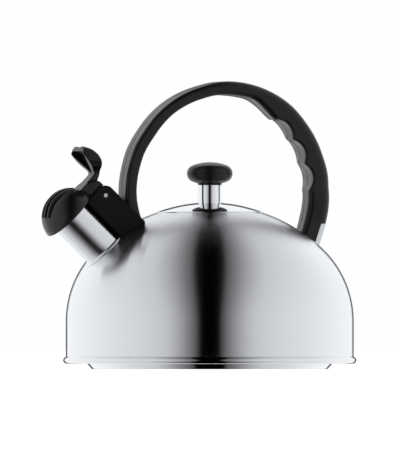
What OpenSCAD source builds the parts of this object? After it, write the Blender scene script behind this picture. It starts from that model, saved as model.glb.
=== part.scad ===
// Stovetop whistling kettle, about two litres, as separate pieces.
// Z is up, the burner lies at z = 0 and the body is turned about the Z axis.
// The spout points to -X and the handle arches over the lid in the XZ plane.

/* [Body] */
// Radius of the straight wall of the body
body_r = 108; // [100:0.5:116]
// Height at which the straight wall ends and the shoulder starts
wall_top = 36; // [28:0.5:44]
// Radius of the shoulder arc
shoulder_r = 75; // [68:0.5:82]
// Angle above level at which the shoulder runs into the crown
shoulder_turn = 47; // [44:0.5:50]
// Thickness of the sheet of the body
body_wall = 0.8; // [0.6:0.1:1.2]
// Clearance between two parts that only rest near each other
rest_gap = 0.3; // [0.2:0.05:0.5]

/* [Base] */
// Height of the pan's underside above the burner
pan_height = 4.1; // [3:0.1:6]
// Thickness of the sheet of the base pan
pan_wall = 0.8; // [0.6:0.1:1.2]
// Radius of the section of the rolled seam
bead_r = 2.7; // [2.2:0.1:3.2]
// Radius of the foot where it stands on the burner
foot_r = 88.5; // [80:0.5:92]
// How far the side of the foot leans outwards on its way up
foot_lean = 3.5; // [1:0.1:5]
// Thickness of the sheet of the foot
foot_wall = 0.6; // [0.4:0.1:1]
// Gap between the rim of the heat disc and the foot's edge
disc_gap = 2.5; // [1.5:0.1:10]

/* [Lid] */
// Radius of the lid
lid_r = 40; // [36:0.5:44]
// Rise of the lid from its edge to its middle
lid_rise = 7.4; // [5:0.1:10]
// Thickness of the sheet of the lid
lid_wall = 0.8; // [0.6:0.1:1.2]
// Depth of the turned-down edge of the lid
lid_edge = 1.8; // [1.5:0.1:2.5]
// Width of the ledge that the lid rests on
ledge_w = 4; // [3:0.1:6]
// Depth of the collar that centres the lid
collar_depth = 12; // [8:0.5:18]
// Thickness of the collar
collar_wall = 0.6; // [0.4:0.1:1]
// Gap between the collar and the opening
collar_gap = 0.4; // [0.3:0.05:0.8]

/* [Knob] */
// Radius of the chrome ferrule under the knob
ferrule_r = 8.5; // [7:0.1:10]
// Height of the ferrule above the middle of the lid
ferrule_h = 13.2; // [10:0.1:18]
// Thickness of the ferrule
ferrule_wall = 0.6; // [0.4:0.1:1]
// Radius of the knob
knob_r = 17.15; // [15:0.05:20]
// Height of the knob
knob_h = 17; // [15:0.1:20]
// Radius of the rounded rim of the knob
knob_rim_r = 6.5; // [5:0.1:7]
// Radius of the lid screw's shank
screw_r = 2; // [1.5:0.1:2.5]
// Radius of the brass insert in the knob
insert_r = 3.2; // [2.8:0.1:3.6]
// Length of the brass insert
insert_l = 9; // [6:0.5:11]

/* [Spout] */
// Angle of the spout above level
spout_angle = 43.6; // [40:0.1:48]
// Distance of the spout's mouth out beyond the body's straight wall
mouth_out = 0.8; // [-3:0.1:3]
// Height of the middle of the mouth above the top of the straight wall
mouth_up = 77.6; // [75:0.1:81]
// Radius of the spout tube
spout_r = 15.1; // [14:0.1:16]
// Thickness of the spout tube
spout_wall = 0.9; // [0.7:0.1:1.3]
// How far the spout tube reaches into the whistle cap
mouth_reach = 6; // [4:0.1:7]
// Width of the welded lip around the foot of the spout
lip_w = 2.4; // [1.5:0.1:4]
// Thickness of the welded lip
lip_t = 0.9; // [0.6:0.1:1.5]

/* [Whistle] */
// Radius of the domed whistle cap
cap_r = 22.3; // [21:0.1:24]
// Thickness of the cap
cap_wall = 2.2; // [1.8:0.1:2.6]
// Distance of the cap's rim in front of the mouth plane
cap_rim = 2.2; // [2:0.1:3]
// Number of steam slots in the cap
slot_n = 5; // [3:2:5]
// Width of a steam slot
slot_w = 3.3; // [2:0.1:3.6]
// Distance from slot to slot
slot_pitch = 4.9; // [4.5:0.1:5.5]
// Half of the angle that the slots span over the nose of the cap
slot_half_angle = 46; // [35:1:50]
// Radius of the hole that the steam sings through
tone_r = 1.8; // [1:0.1:2.5]
// Depth of the chamber between the two holed plates
chamber_depth = 4.4; // [3.5:0.1:4.5]
// Thickness of the plates of the whistle
plate_t = 0.6; // [0.4:0.1:0.8]
// Radius of the chamber
chamber_r = 12.5; // [10:0.1:13]

/* [Housing and hinge] */
// Half of the width of the housing on the spout
housing_half = 12; // [11.5:0.1:14]
// Height of the housing's flat bottom above the spout's axis
housing_base = 14; // [13.5:0.1:14.5]
// Distance of the hinge pin behind the mouth plane
pin_along = 5.5; // [5:0.1:7]
// Height of the hinge pin above the spout's axis
pin_up = 27.9; // [27.5:0.1:29]
// Radius of the hinge pin
pin_r = 1.5; // [1.4:0.1:2]
// Running clearance around the hinge pin
pin_gap = 0.05; // [0.03:0.01:0.08]
// Radius of the housing's corner around the pin
corner_r = 7.4; // [7:0.1:7.8]
// Radius of the lever's hub
hub_r = 5; // [4.5:0.1:5.2]
// Half of the width of the lever's hub
hub_half = 8; // [7:0.1:8.5]
// Half of the width of the gap for the spring in the hub
spring_half = 3.6; // [3:0.1:4.5]
// Radius of the spring's wire
wire_r = 0.4; // [0.3:0.05:0.5]
// Turns of the spring
spring_turns = 4; // [3:1:5]

/* [Thumb lever] */
// Half of the width of the lever's neck
neck_half = 5; // [4.5:0.1:6]
// Half of the width of the lever's foot
foot_half = 10; // [9:0.1:11]
// Radius of the lever's two rounded tips, seen from the front
tip_r = 8.6; // [7:0.1:9.5]
// Distance of each rounded tip from the middle
tip_side = 7.8; // [7:0.1:10]
// Radius of the lever's back
lever_back_r = 17.7; // [17:0.1:18]
// Thickness of the lever behind its thumb dish
lever_t = 3.9; // [3.5:0.1:4.4]
// Width of the rim around the thumb dish
dish_rim = 2; // [1.8:0.1:3]

/* [Handle] */
// Radius of the body less the radius of the handle's arch
arch_inset = 28.5; // [27:0.5:31]
// Distance of the arch's middle behind the body's axis
arch_x = 11.5; // [9.5:0.5:12]
// Height of the arch's middle above the top of the straight wall
arch_up = 100.4; // [98:0.2:103]
// Thickness of the handle at its front end
front_t = 8.7; // [8.2:0.1:10]
// Thickness of the handle at the top of the arch
top_t = 10.6; // [10:0.1:12]
// Thickness of the grip between two finger scallops
grip_t = 17.2; // [16:0.1:17.6]
// Thickness of the handle at its rear end
rear_t = 17.4; // [15:0.1:18]
// Half of the width of the handle at its front end
front_half = 10.8; // [10.4:0.1:11.5]
// Half of the width of the grip
grip_half = 14; // [12:0.1:15]
// Half of the width of the handle at its rear end
rear_half = 10.6; // [10.4:0.1:12]
// Depth of the finger scallops
scallop_depth = 4; // [2:0.1:4.5]
// Number of finger scallops
scallop_n = 3; // [2:1:4]
// Wall of the handle shells over the channel inside them
shell_wall = 3; // [2.6:0.1:3.4]
// Radius of the screws that join the handle shells
joint_screw_r = 1.5; // [1.2:0.1:1.7]

/* [Brackets] */
// Thickness of the steel tab that joins the handle to the spout
tab_t = 2; // [1.5:0.1:2.5]
// Width of the tab's arm inside the handle
tab_w = 4; // [3.6:0.1:4.4]
// Half of the width of the rear bracket
bracket_half = 8; // [7.5:0.1:9]
// Depth of the rear bracket's folded sides
bracket_d = 4.3; // [3.6:0.1:4.6]
// Thickness of the rear bracket's sheet
bracket_t = 1.5; // [1.2:0.1:1.8]
// Lean of the rear bracket from upright
rear_lean = 18.5; // [16:0.5:20]
// Height of the top edge of the rear bracket above the top of the straight wall
rear_up = 73.2; // [71:0.1:74]
// Gap between the folded sides of the rear bracket and the handle
rear_slot = 1.1; // [0.8:0.1:1.4]

/* [Hidden] */
$fn = 96;
// steps round large turned pieces, large arcs in an outline, and screws
fine = 180;
arc_fine = 240;
screw_fn = 48;
// a hair's overlap, a cutter's overrun past a face, and a reach beyond every piece
eps = 0.01;
over = 1;
far = 400;
// gaps of parts that slip into each other, of a tab in its slot and of a screw in its hole
slip_gap = 0.1;
tab_gap = 0.05;
screw_hole_gap = 0.2;

// --- body outline: wall, shoulder and crown, each arc tangent to the next ---
shoulder_x = body_r - shoulder_r;
// a whole number of thousandths, so that the two arcs stay tangent once written out
crown_r = round(1000 * (shoulder_r + shoulder_x / cos(shoulder_turn))) / 1000;
crown_z = wall_top - sqrt(pow(crown_r - shoulder_r, 2) - shoulder_x * shoulder_x);
// the crown's arc runs this far, in degrees, over the shoulder's
arc_lap = 0.02;
cone_at = [shoulder_x + shoulder_r * cos(shoulder_turn), wall_top + shoulder_r * sin(shoulder_turn)];
function crown_height(r) = crown_z + sqrt(crown_r * crown_r - r * r);

// --- base ---
bead_drop = 0.05;
bead_inset = 0.3;
bead_z = pan_height + bead_r - bead_drop;
bead_x = body_r - body_wall / 2 - bead_inset;
// the body's edge reaches this deep into the bead, and the pan stops this short of its middle
seam_depth = 1.5;
seam_floor = bead_z - seam_depth;
pan_reach = bead_x - 1;
disc_r = foot_r - disc_gap;
// the foot's lower edge: three corners, each as far in from its side and up from the burner
foot_edge = [[2, 0], [0.6, 0.3], [0, 1.2]];

// --- lid, its ledge and its screw ---
lid_proud = 0.3;
step_lap = 0.4;
seat_r = lid_r + rest_gap;
lid_edge_top = crown_height(lid_r) + lid_proud;
lid_sphere_r = (lid_r * lid_r + lid_rise * lid_rise) / (2 * lid_rise);
lid_z = lid_edge_top + lid_rise - lid_sphere_r;
lid_top = lid_z + lid_sphere_r;
ledge_top = lid_edge_top - lid_edge - rest_gap;
opening_r = seat_r - ledge_w;
collar_r = opening_r - collar_gap;
knob_base = lid_top + ferrule_h;
ferrule_lap = 0.5;
stem_r = ferrule_r - ferrule_wall - slip_gap;
stem_base = lid_top + 1;
stem_lap = 2;
insert_rise = 4;
insert_base = knob_base - insert_l + insert_rise;
washer_r = 5;
washer_t = 0.8;
washer_top = lid_z + sqrt(pow(lid_sphere_r - lid_wall, 2) - washer_r * washer_r);
head_r = 3.6;
head_h = 2.4;
head_socket_r = 1.6;
lid_screw_short = 2;

// --- places along the spout: u runs down to the body, v square to it and up ---
mouth_x = body_r + mouth_out;
mouth_z = wall_top + mouth_up;
function spot(u, v) = [-mouth_x + u * cos(spout_angle) + v * sin(spout_angle),
    0, mouth_z - u * sin(spout_angle) + v * cos(spout_angle)];
function along_of(x, z) = (x + mouth_x) * cos(spout_angle) - (z - mouth_z) * sin(spout_angle);
pin_at = spot(pin_along, pin_up);
// most of the way down the axis to the level of the straight wall's top, well inside the dome
spout_l = 0.8 * mouth_up / sin(spout_angle);
// the lip and its seat start this far down the spout
lip_from = 10;
housing_front = pin_along - corner_r;
housing_top = pin_up + corner_r;
bore_r = spout_r - spout_wall;
cap_inner_r = cap_r - cap_wall;
whistle_gap = 0.5;
whistle_face = mouth_reach + whistle_gap;
cup_back = whistle_face + plate_t + chamber_depth;
plate_back = cup_back + plate_t;
retainer_t = 0.8;
retainer_gap = 0.8;
function cap_room(u) = sqrt(cap_inner_r * cap_inner_r - u * u) - slip_gap;

// --- hinge and spring ---
hub_slot_half = hub_half + rest_gap;
hub_slot_r = hub_r + 2 * rest_gap;
coil_r = 3.2;
coil_gap = 0.35;
coil_pitch = 2 * wire_r + coil_gap;
coil_steps = 14;
coil_sides = 6;
leg_l = 3;
coil_n = spring_turns * coil_steps;
function coil_point(i) = let (a = 360 * i / coil_steps)
    [coil_r * cos(a), coil_pitch * (i / coil_steps - spring_turns / 2), coil_r * sin(a)];
coil_path = concat([coil_point(0) + [0, 0, -leg_l]],
    [for (i = [0 : coil_n]) coil_point(i)], [coil_point(coil_n) + [0, 0, leg_l]]);

// --- screws with a pan head and a hexagon socket ---
screw_head_r = 2.8;
screw_head_h = 1.8;
socket_r = 1.2;
socket_depth = 1;
screw_sink = 0.5;

// --- handle: the arch, its finger scallops and its corner roundings ---
arch_r = body_r - arch_inset;
arch_z = wall_top + arch_up;
cusp_first = 54.5;
cusp_last = -2;
scallop_step = (cusp_first - cusp_last) / scallop_n;
scallop_top = 88;
widest_until = 65;
front_end = 180;
tail_angle = -24;
rear_angle = -32;
front_angle = 200;
rear_flare = 0.17;
outer_rounding = [6, 2.6];
inner_rounding = [4.6, 2.2];
rounding_angles = [60, 150];
section_steps = 3;
section_n = 2 * section_steps + 4;
function ease(a, b, t) = let (s = min(1, max(0, (t - a) / (b - a)))) s * s * (3 - 2 * s);
function mix(a, b, s) = a + (b - a) * s;
stations = concat(
    [for (i = [0 : 7]) mix(rear_angle, cusp_last, i / 8)],
    [for (i = [0 : 10 * scallop_n - 1]) mix(cusp_last, cusp_first, i / (10 * scallop_n))],
    [for (i = [0 : 9]) mix(cusp_first, scallop_top, i / 10)],
    [for (i = [0 : 34]) mix(scallop_top, front_angle, i / 34)]);
// hollows inside the shells, each from one angle to another
front_hollow = [125, 174];
top_hollow = [78, 111];
grip_hollow = [11, 62];

// --- tab between spout and handle, its screws and the tongue round it ---
arm_x = arch_x - arch_r + front_t / 2 + 1.2;
arm_top = pin_at.z + 9;
arm_l = 30;
slot_wall = 3.9;
plate_from = pin_along + hub_slot_r + slot_wall;
plate_to = along_of(arm_x + tab_w / 2, arm_top - arm_l);
plate_top = pin_up + 3;
housing_screw_u = [plate_from + 4, plate_to - 6];
housing_screw_v = (spout_r + pin_up) / 2;
tongue_half = 8;
tongue_t = 6.4;
tongue_depth = 8;
tongue_top = 20;
arm_screw_angle = 182.5;
joint_angles = [arm_screw_angle, 118, 70, 3];
joint_sink = 1.2;
thread_end = 5;

// --- rear bracket, let into the back of the handle ---
bracket_inset = 1.25;
bracket_x = arch_x + arch_r - bracket_inset;
rear_top = wall_top + rear_up;
rear_screw_r = joint_screw_r - 0.2;
rear_head_slope = 1.1;
rear_head_h = bracket_t - rest_gap;
rear_screw_l = 10;
rear_screw_drop = 4.2;
rear_screw_y = 4;
notch_depth = bracket_d + rear_slot;
rear_tongue_half = bracket_half - bracket_t - rest_gap;

// --- thumb lever: a dished blade over a foot that holds the cap and turns on the pin ---
lever_set = 3.1;
lever_lift = 19.6;
dish_turn = 45;
bend_up = 16.5;
front_turns = [130, 226];
lever_tip_angle = 71;
lever_heel_angle = -100;
back_at = [pin_at.x - lever_set - lever_back_r, pin_at.z + lever_lift];
bend_at = [pin_at.x - lever_set - lever_t, pin_at.z + bend_up];
neck_z = back_at.y - 5;
neck_foot_z = pin_at.z - 10;
lobe_drop = 0.4;
lobe_angles = [-14, 60, 112];
lobe_crest = 0.87;
hub_arm = 0.9 * hub_r;
front_normal = front_turns[0] - 90;
// Distance of the flat front from the middle of the back circle, along the tip's angle.
lever_front_reach = (bend_at - back_at) * [cos(front_normal), sin(front_normal)]
    / cos(lever_tip_angle - front_normal);
tip_t = lever_back_r - lever_front_reach;
// Side of the foot, in (u, v): it runs from the cap's top up to the blade.
lever_foot = [[-0.52 * cap_r, 0.72 * cap_r], [-0.52 * cap_r, cap_r + 0.7],
    [-0.31 * cap_r, pin_up + 3.6], [-0.2 * cap_r, pin_up + hub_r],
    [pin_along - hub_r / 2, pin_up + hub_r], [pin_along - hub_r / 2, pin_up - hub_r],
    [-cap_rim, pin_up - hub_r], [-cap_rim, 0.72 * cap_r]];

/* ---------- shared shapes ---------- */

// Stands its children in the spout's own directions: X along u, Y along y, Z along v.
module on_spout() translate([-mouth_x, 0, mouth_z]) rotate([0, spout_angle, 0]) children();

// Turns a flat outline drawn in (x, z) upright and gives it a width across Y.
module across(half) rotate([90, 0, 0]) linear_extrude(2 * half, center = true) children();

// The part of the plane between two angles, less than a right angle apart.
module wedge(a, b) polygon([[0, 0], far * [cos(a), sin(a)],
    far * [cos((a + b) / 2), sin((a + b) / 2)] * 1.2, far * [cos(b), sin(b)]]);

// Outline of the sheet of the dome, from its outside inwards by t.
module dome_sheet(t, from = 0) {
    difference() {
        union() {
            translate([0, crown_z]) intersection() {
                difference() {
                    circle(crown_r, $fn = arc_fine);
                    circle(crown_r - t, $fn = arc_fine);
                }
                wedge(shoulder_turn - arc_lap, 90);
            }
            translate([shoulder_x, wall_top]) intersection() {
                difference() {
                    circle(shoulder_r, $fn = fine);
                    circle(shoulder_r - t, $fn = fine);
                }
                wedge(0, shoulder_turn);
            }
        }
        translate([-far, -far]) square([far + from, 2 * far]);
    }
}

// The whole space inside the dome's outside, grown by g: used to scribe parts onto it.
module dome_space(g = 0) rotate_extrude($fn = fine) intersection() {
    union() {
        translate([0, crown_z]) intersection() {
            circle(crown_r + g, $fn = arc_fine);
            wedge(shoulder_turn - arc_lap, 90);
        }
        translate([shoulder_x, wall_top]) intersection() {
            circle(shoulder_r + g, $fn = fine);
            wedge(0, shoulder_turn);
        }
        polygon([[0, min(0, crown_z - over)], [shoulder_x, wall_top], [body_r + g, wall_top],
            [body_r + g, 0]]);
        polygon([[0, crown_z], [shoulder_x, wall_top], [0, wall_top]]);
    }
    square([far, far]);
}

// A cone that touches the dome where its shoulder meets its crown, grown by g.
module dome_cone(g) rotate_extrude($fn = fine) polygon([[0, 0],
    [cone_at.x + (cone_at.y * sin(shoulder_turn) + g) / cos(shoulder_turn), 0],
    [0, cone_at.y + (cone_at.x * cos(shoulder_turn) + g) / sin(shoulder_turn)]]);

/* ---------- body and base ---------- */

module body_shell() color("silver") difference() {
    rotate_extrude($fn = fine) {
        dome_sheet(body_wall, seat_r);
        translate([body_r - body_wall, seam_floor]) square([body_wall, wall_top - seam_floor]);
        // step and ledge that the lid drops into
        translate([seat_r, ledge_top - body_wall])
            square([body_wall, crown_height(seat_r) - step_lap - ledge_top + body_wall]);
        translate([opening_r, ledge_top - body_wall]) square([ledge_w + eps, body_wall]);
    }
    along(0, spout_l, bore_r);
}

module base_pan() color("silver") rotate_extrude($fn = fine) {
    translate([0, pan_height]) square([pan_reach, pan_wall]);
    difference() {
        translate([bead_x, bead_z]) circle(bead_r);
        translate([body_r - body_wall, seam_floor]) square([body_wall, 2 * bead_r]);
    }
}

// Outline of the foot, leaning out from the burner to the pan, moved inwards by t.
module foot_outline(t) polygon(concat([[0, t]],
    [for (p = foot_edge) [foot_r - p.x - t, p.y + t]],
    [[foot_r + foot_lean - t, pan_height], [0, pan_height]]));

module base_capsule() color("silver") rotate_extrude($fn = fine) difference() {
    foot_outline(0);
    foot_outline(foot_wall);
}

module heat_disc() color("gainsboro") translate([0, 0, foot_wall])
    cylinder(r = disc_r, h = pan_height - foot_wall, $fn = fine);

/* ---------- lid ---------- */

module lid_shell() color("silver") rotate_extrude($fn = fine) {
    difference() {
        translate([0, lid_z]) difference() {
            circle(lid_sphere_r, $fn = arc_fine);
            circle(lid_sphere_r - lid_wall, $fn = arc_fine);
        }
        translate([-far, -far]) square([far + screw_r + screw_hole_gap, 2 * far]);
        translate([lid_r, -far]) square([far, 2 * far]);
        translate([0, lid_z - far]) square([far, far]);
    }
    translate([lid_r - lid_wall, lid_edge_top - lid_edge]) square([lid_wall, lid_edge - slip_gap]);
}

module lid_collar() color("silver") rotate_extrude($fn = fine) intersection() {
    translate([collar_r - collar_wall, ledge_top - collar_depth])
        square([collar_wall, collar_depth + lid_rise]);
    translate([0, lid_z]) circle(lid_sphere_r - lid_wall, $fn = arc_fine);
}

module knob_ferrule() color("gainsboro") rotate_extrude() difference() {
    translate([ferrule_r - ferrule_wall, lid_top - over]) square([ferrule_wall, ferrule_h + over]);
    translate([0, lid_z]) circle(lid_sphere_r, $fn = arc_fine);
}

// Half outline of the knob: a flat lens closed by a rounded rim.
module knob_outline() {
    side_x = knob_r - knob_rim_r;
    half_h = knob_h / 2;
    drop = (side_x * side_x - pow(half_h - knob_rim_r, 2)) / (2 * (half_h - knob_rim_r));
    lens_r = half_h + drop;
    join_x = side_x * lens_r / (lens_r - knob_rim_r);
    intersection() {
        translate([0, -drop]) circle(lens_r, $fn = arc_fine);
        translate([0, drop]) circle(lens_r, $fn = arc_fine);
        translate([0, -half_h]) square([join_x, knob_h]);
    }
    intersection() {
        translate([side_x, 0]) circle(knob_rim_r);
        translate([join_x, -half_h]) square([knob_r, knob_h]);
    }
}

module knob() color("#1c1d20") difference() {
    union() {
        translate([0, 0, knob_base + knob_h / 2]) rotate_extrude() knob_outline();
        translate([0, 0, knob_base]) cylinder(r = ferrule_r + ferrule_lap, h = knob_h / 2);
        translate([0, 0, stem_base]) cylinder(r = stem_r, h = ferrule_h + stem_lap);
    }
    translate([0, 0, insert_base]) cylinder(r = insert_r, h = insert_l);
    translate([0, 0, stem_base - over]) cylinder(r = screw_r + screw_hole_gap, h = ferrule_h);
}

module knob_insert() color("goldenrod") translate([0, 0, insert_base]) difference() {
    cylinder(r = insert_r, h = insert_l);
    translate([0, 0, -over]) cylinder(r = screw_r, h = insert_l);
}

module lid_screw() color("lightgray") translate([0, 0, washer_top - washer_t]) {
    difference() {
        translate([0, 0, -head_h]) cylinder(r = head_r, h = head_h);
        translate([0, 0, -head_h - over]) cylinder(r = head_socket_r, h = over + head_h / 2, $fn = 6);
    }
    cylinder(r = screw_r, h = insert_base + insert_l - lid_screw_short - washer_top + washer_t);
}

module lid_washer() color("gray") translate([0, 0, washer_top - washer_t]) difference() {
    cylinder(r = washer_r, h = washer_t);
    translate([0, 0, -over]) cylinder(r = screw_r + screw_hole_gap, h = washer_t + 2 * over);
}

/* ---------- spout, bracket and housing ---------- */

// A round bar along the spout's axis from u over a length.
module along(u, l, r) on_spout() translate([u, 0, 0]) rotate([0, 90, 0]) cylinder(r = r, h = l);

module spout_tube() color("silver") difference() {
    union() {
        along(-mouth_reach, spout_l + mouth_reach, spout_r);
        intersection() {
            along(lip_from, spout_l - lip_from, spout_r + lip_w);
            dome_space(lip_t);
        }
    }
    dome_space();
    along(-mouth_reach - over, spout_l + mouth_reach + 2 * over, bore_r);
}

// The tab: a plate along the spout, and an arm that stands in the handle's front end.
module tab_shape(g) {
    on_spout() across(tab_t / 2 + g) translate([plate_from - g, 0])
        square([plate_to - plate_from + 2 * g, plate_top + g]);
    across(tab_t / 2 + g) translate([arm_x - tab_w / 2 - g, arm_top - arm_l])
        square([tab_w + 2 * g, arm_l + g]);
}

// The holes for the screws that pass through the tab.
module tab_holes() {
    for (u = housing_screw_u) on_spout() translate([u, 0, housing_screw_v]) rotate([90, 0, 0])
        cylinder(r = joint_screw_r + slip_gap, h = 2 * tab_w, center = true);
    arm_screw() cylinder(r = joint_screw_r + slip_gap, h = 2 * tab_w, center = true);
}

module spout_bracket() color("lightgray") difference() {
    tab_shape(0);
    along(-mouth_reach, spout_l + mouth_reach, spout_r);
    dome_space(lip_t);
    tab_holes();
}

// Outline of the part of the handle's front end that plugs into the housing.
module tongue_shape(g) translate([arm_x - tongue_t / 2 - g, -tongue_half - g,
    arm_top - tongue_top - tongue_depth - g])
    cube([tongue_t + 2 * g, 2 * tongue_half + 2 * g, 3 * tongue_depth + g]);

// The square corner that the rounding round the pin replaces.
module front_corner() translate([housing_front - over, pin_up])
    square([corner_r + over, corner_r + over]);

module housing_outline() {
    difference() {
        translate([housing_front, housing_base])
            square([spout_l - housing_front, housing_top - housing_base]);
        front_corner();
    }
    intersection() {
        translate([pin_along, pin_up]) circle(corner_r);
        front_corner();
    }
}

module spout_housing() color("#1c1d20") difference() {
    on_spout() across(housing_half) housing_outline();
    along(-mouth_reach, spout_l + mouth_reach, spout_r);
    dome_space();
    intersection() {
        along(lip_from, spout_l - lip_from, spout_r + lip_w + slip_gap);
        dome_space(lip_t + slip_gap);
    }
    // slot for the lever's hub and foot
    on_spout() across(hub_slot_half) {
        translate([pin_along, pin_up]) circle(hub_slot_r);
        translate([housing_front - over, pin_up - hub_slot_r])
            square([corner_r + over, hub_slot_r + corner_r + over]);
        translate([pin_along - eps, pin_up]) square([hub_slot_r, corner_r + over]);
    }
    tab_shape(tab_gap);
    tongue_shape(slip_gap);
    round_pin(pin_r);
    for (u = housing_screw_u) on_spout() translate([u, 0, housing_screw_v]) {
        translate([0, -thread_end - over, 0]) rotate([-90, 0, 0])
            cylinder(r = joint_screw_r, h = housing_half + thread_end);
        translate([0, housing_half - screw_head_h - screw_sink, 0]) rotate([-90, 0, 0])
            cylinder(r = screw_head_r + slip_gap, h = screw_head_h + over);
    }
}

// A pan-head screw standing along Z, its head's top at z = 0 and its shank below.
module pan_screw(shank) {
    difference() {
        translate([0, 0, -screw_head_h]) cylinder(r = screw_head_r, h = screw_head_h, $fn = screw_fn);
        translate([0, 0, -socket_depth]) cylinder(r = socket_r, h = socket_depth + over, $fn = 6);
    }
    translate([0, 0, -screw_head_h - shank])
        cylinder(r = joint_screw_r, h = shank, $fn = screw_fn);
}

module housing_screws() color("lightgray") for (u = housing_screw_u)
    on_spout() translate([u, housing_half - screw_sink, housing_screw_v]) rotate([-90, 0, 0])
        pan_screw(housing_half - screw_sink - screw_head_h + thread_end);

module hinge_pin() color("gray") translate(pin_at) rotate([90, 0, 0])
    cylinder(r = pin_r, h = 2 * housing_half, center = true);

/* ---------- whistle ---------- */

module whistle_cap() color("#1c1d20") on_spout() rotate([0, -90, 0]) difference() {
    rotate_extrude() intersection() {
        difference() {
            circle(cap_r);
            circle(cap_inner_r);
        }
        translate([0, cap_rim]) square(far);
    }
    for (i = [0 : slot_n - 1]) translate([0, (i - (slot_n - 1) / 2) * slot_pitch, 0])
        across(slot_w / 2) wedge(90 - slot_half_angle, 90 + slot_half_angle);
}

module whistle_plate() color("gainsboro") difference() {
    along(-plate_back, plate_t, cap_room(plate_back));
    along(-plate_back - over, plate_t + 2 * over, tone_r);
}

module whistle_cup() color("gainsboro") difference() {
    union() {
        along(-cup_back, chamber_depth + plate_t, chamber_r + plate_t);
        along(-cup_back, plate_t, cap_room(cup_back));
    }
    along(-cup_back - over, chamber_depth + over, chamber_r);
    along(-cup_back, cup_back, tone_r);
}

module whistle_retainer() color("gray") difference() {
    along(-cup_back + plate_t, retainer_t, cap_room(cup_back - plate_t));
    along(-cup_back, cup_back, chamber_r + plate_t + retainer_gap);
}

/* ---------- thumb lever and spring ---------- */

// Side of the lever's curved blade, in (x, z), before its front is hollowed.
module blade_side() translate(back_at) {
    intersection() {
        circle(lever_back_r, $fn = arc_fine);
        polygon([[0, 0], far * [cos(lever_heel_angle), sin(lever_heel_angle)],
            far * [1, -1], far * [1, 1], far * [cos(lever_tip_angle), sin(lever_tip_angle)]]);
    }
    rotate(lever_tip_angle) translate([lever_back_r - tip_t / 2, 0])
        circle(tip_t / 2 - slip_gap);
}

// The lever's outline from the front, in (y, z): a straight neck that flares into two lobes.
module blade_front(g) {
    lobe = [tip_side, back_at.y + lever_back_r - tip_r - lobe_drop];
    r = tip_r - g;
    for (s = [-1, 1]) scale([s, 1]) {
        translate(lobe) circle(r);
        polygon(concat([[-eps, neck_foot_z], [foot_half - g, neck_foot_z], [neck_half - g, neck_z]],
            [for (a = lobe_angles) lobe + r * [cos(a), sin(a)]], [[-eps, lobe.y + lobe_crest * r]]));
    }
}

// All that lies in front of the lever: its flat front and the front of its neck meet in a bend.
module before_front() translate([bend_at.x, 0, bend_at.y]) rotate([90, 0, 0])
    linear_extrude(far, center = true) polygon([[0, 0],
        far * [cos(front_turns[0]), sin(front_turns[0])], far * [-1, 1], far * [-1, -1],
        far * [cos(front_turns[1]), sin(front_turns[1])]]);

module blade() intersection() {
    across(2 * tip_r) blade_side();
    rotate([90, 0, 90]) linear_extrude(far, center = true) blade_front(0);
}

module thumb_dish() intersection() {
    translate([back_at.x, 0, back_at.y]) rotate([90, 0, 0])
        cylinder(r = lever_back_r - lever_t, h = far, center = true, $fn = arc_fine);
    rotate([90, 0, 90]) linear_extrude(far, center = true) blade_front(dish_rim);
    translate([-far, 0, neck_z + over]) rotate([dish_turn, 0, 0]) cube([2 * far, far, far]);
}

// A long bar round the hinge's axis.
module round_pin(r) translate(pin_at) rotate([90, 0, 0]) cylinder(r = r, h = far, center = true);

// Side of the arm that carries the hub, narrow enough for the housing's slot.
module hub_side() {
    translate([pin_along, pin_up]) circle(hub_r);
    translate([-hub_r, pin_up - hub_arm]) square([pin_along + hub_r, 2 * hub_arm]);
}

module thumb_lever() color("#1c1d20") difference() {
    union() {
        difference() {
            union() {
                blade();
                on_spout() across(foot_half) polygon(lever_foot);
            }
            round_pin(corner_r + rest_gap);
            on_spout() translate([housing_front - rest_gap, -far / 2, 0])
                cube([2 * corner_r, far, pin_up]);
        }
        difference() {
            on_spout() across(hub_half) hub_side();
            on_spout() translate([pin_along - hub_slot_r, -spring_half, pin_up - 2 * hub_r])
                cube([4 * hub_r, 2 * spring_half, 4 * hub_r]);
        }
    }
    before_front();
    thumb_dish();
    on_spout() sphere(cap_r);
    round_pin(pin_r + pin_gap);
}

function unit(p) = p / norm(p);
function ring(i) = let (
    n = len(coil_path) - 1,
    d = unit(coil_path[min(i + 1, n)] - coil_path[max(i - 1, 0)]),
    s = unit(cross(d, [0, 1, 0.01])),
    t = cross(d, s))
    [for (k = [0 : coil_sides - 1]) let (a = 360 * k / coil_sides)
        coil_path[i] + wire_r * (cos(a) * s + sin(a) * t)];

module whistle_spring() color("gray") on_spout() translate([pin_along, 0, pin_up]) {
    last = len(coil_path) - 1;
    points = [for (i = [0 : last]) each ring(i)];
    sides = [for (i = [0 : last - 1]) for (k = [0 : coil_sides - 1])
        let (m = (k + 1) % coil_sides, a = i * coil_sides, b = a + coil_sides)
        each [[a + k, b + k, b + m], [a + k, b + m, a + m]]];
    caps = [[for (k = [0 : coil_sides - 1]) k],
        [for (k = [coil_sides - 1 : -1 : 0]) last * coil_sides + k]];
    polyhedron(points, concat(sides, caps));
}

/* ---------- handle ---------- */

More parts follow.
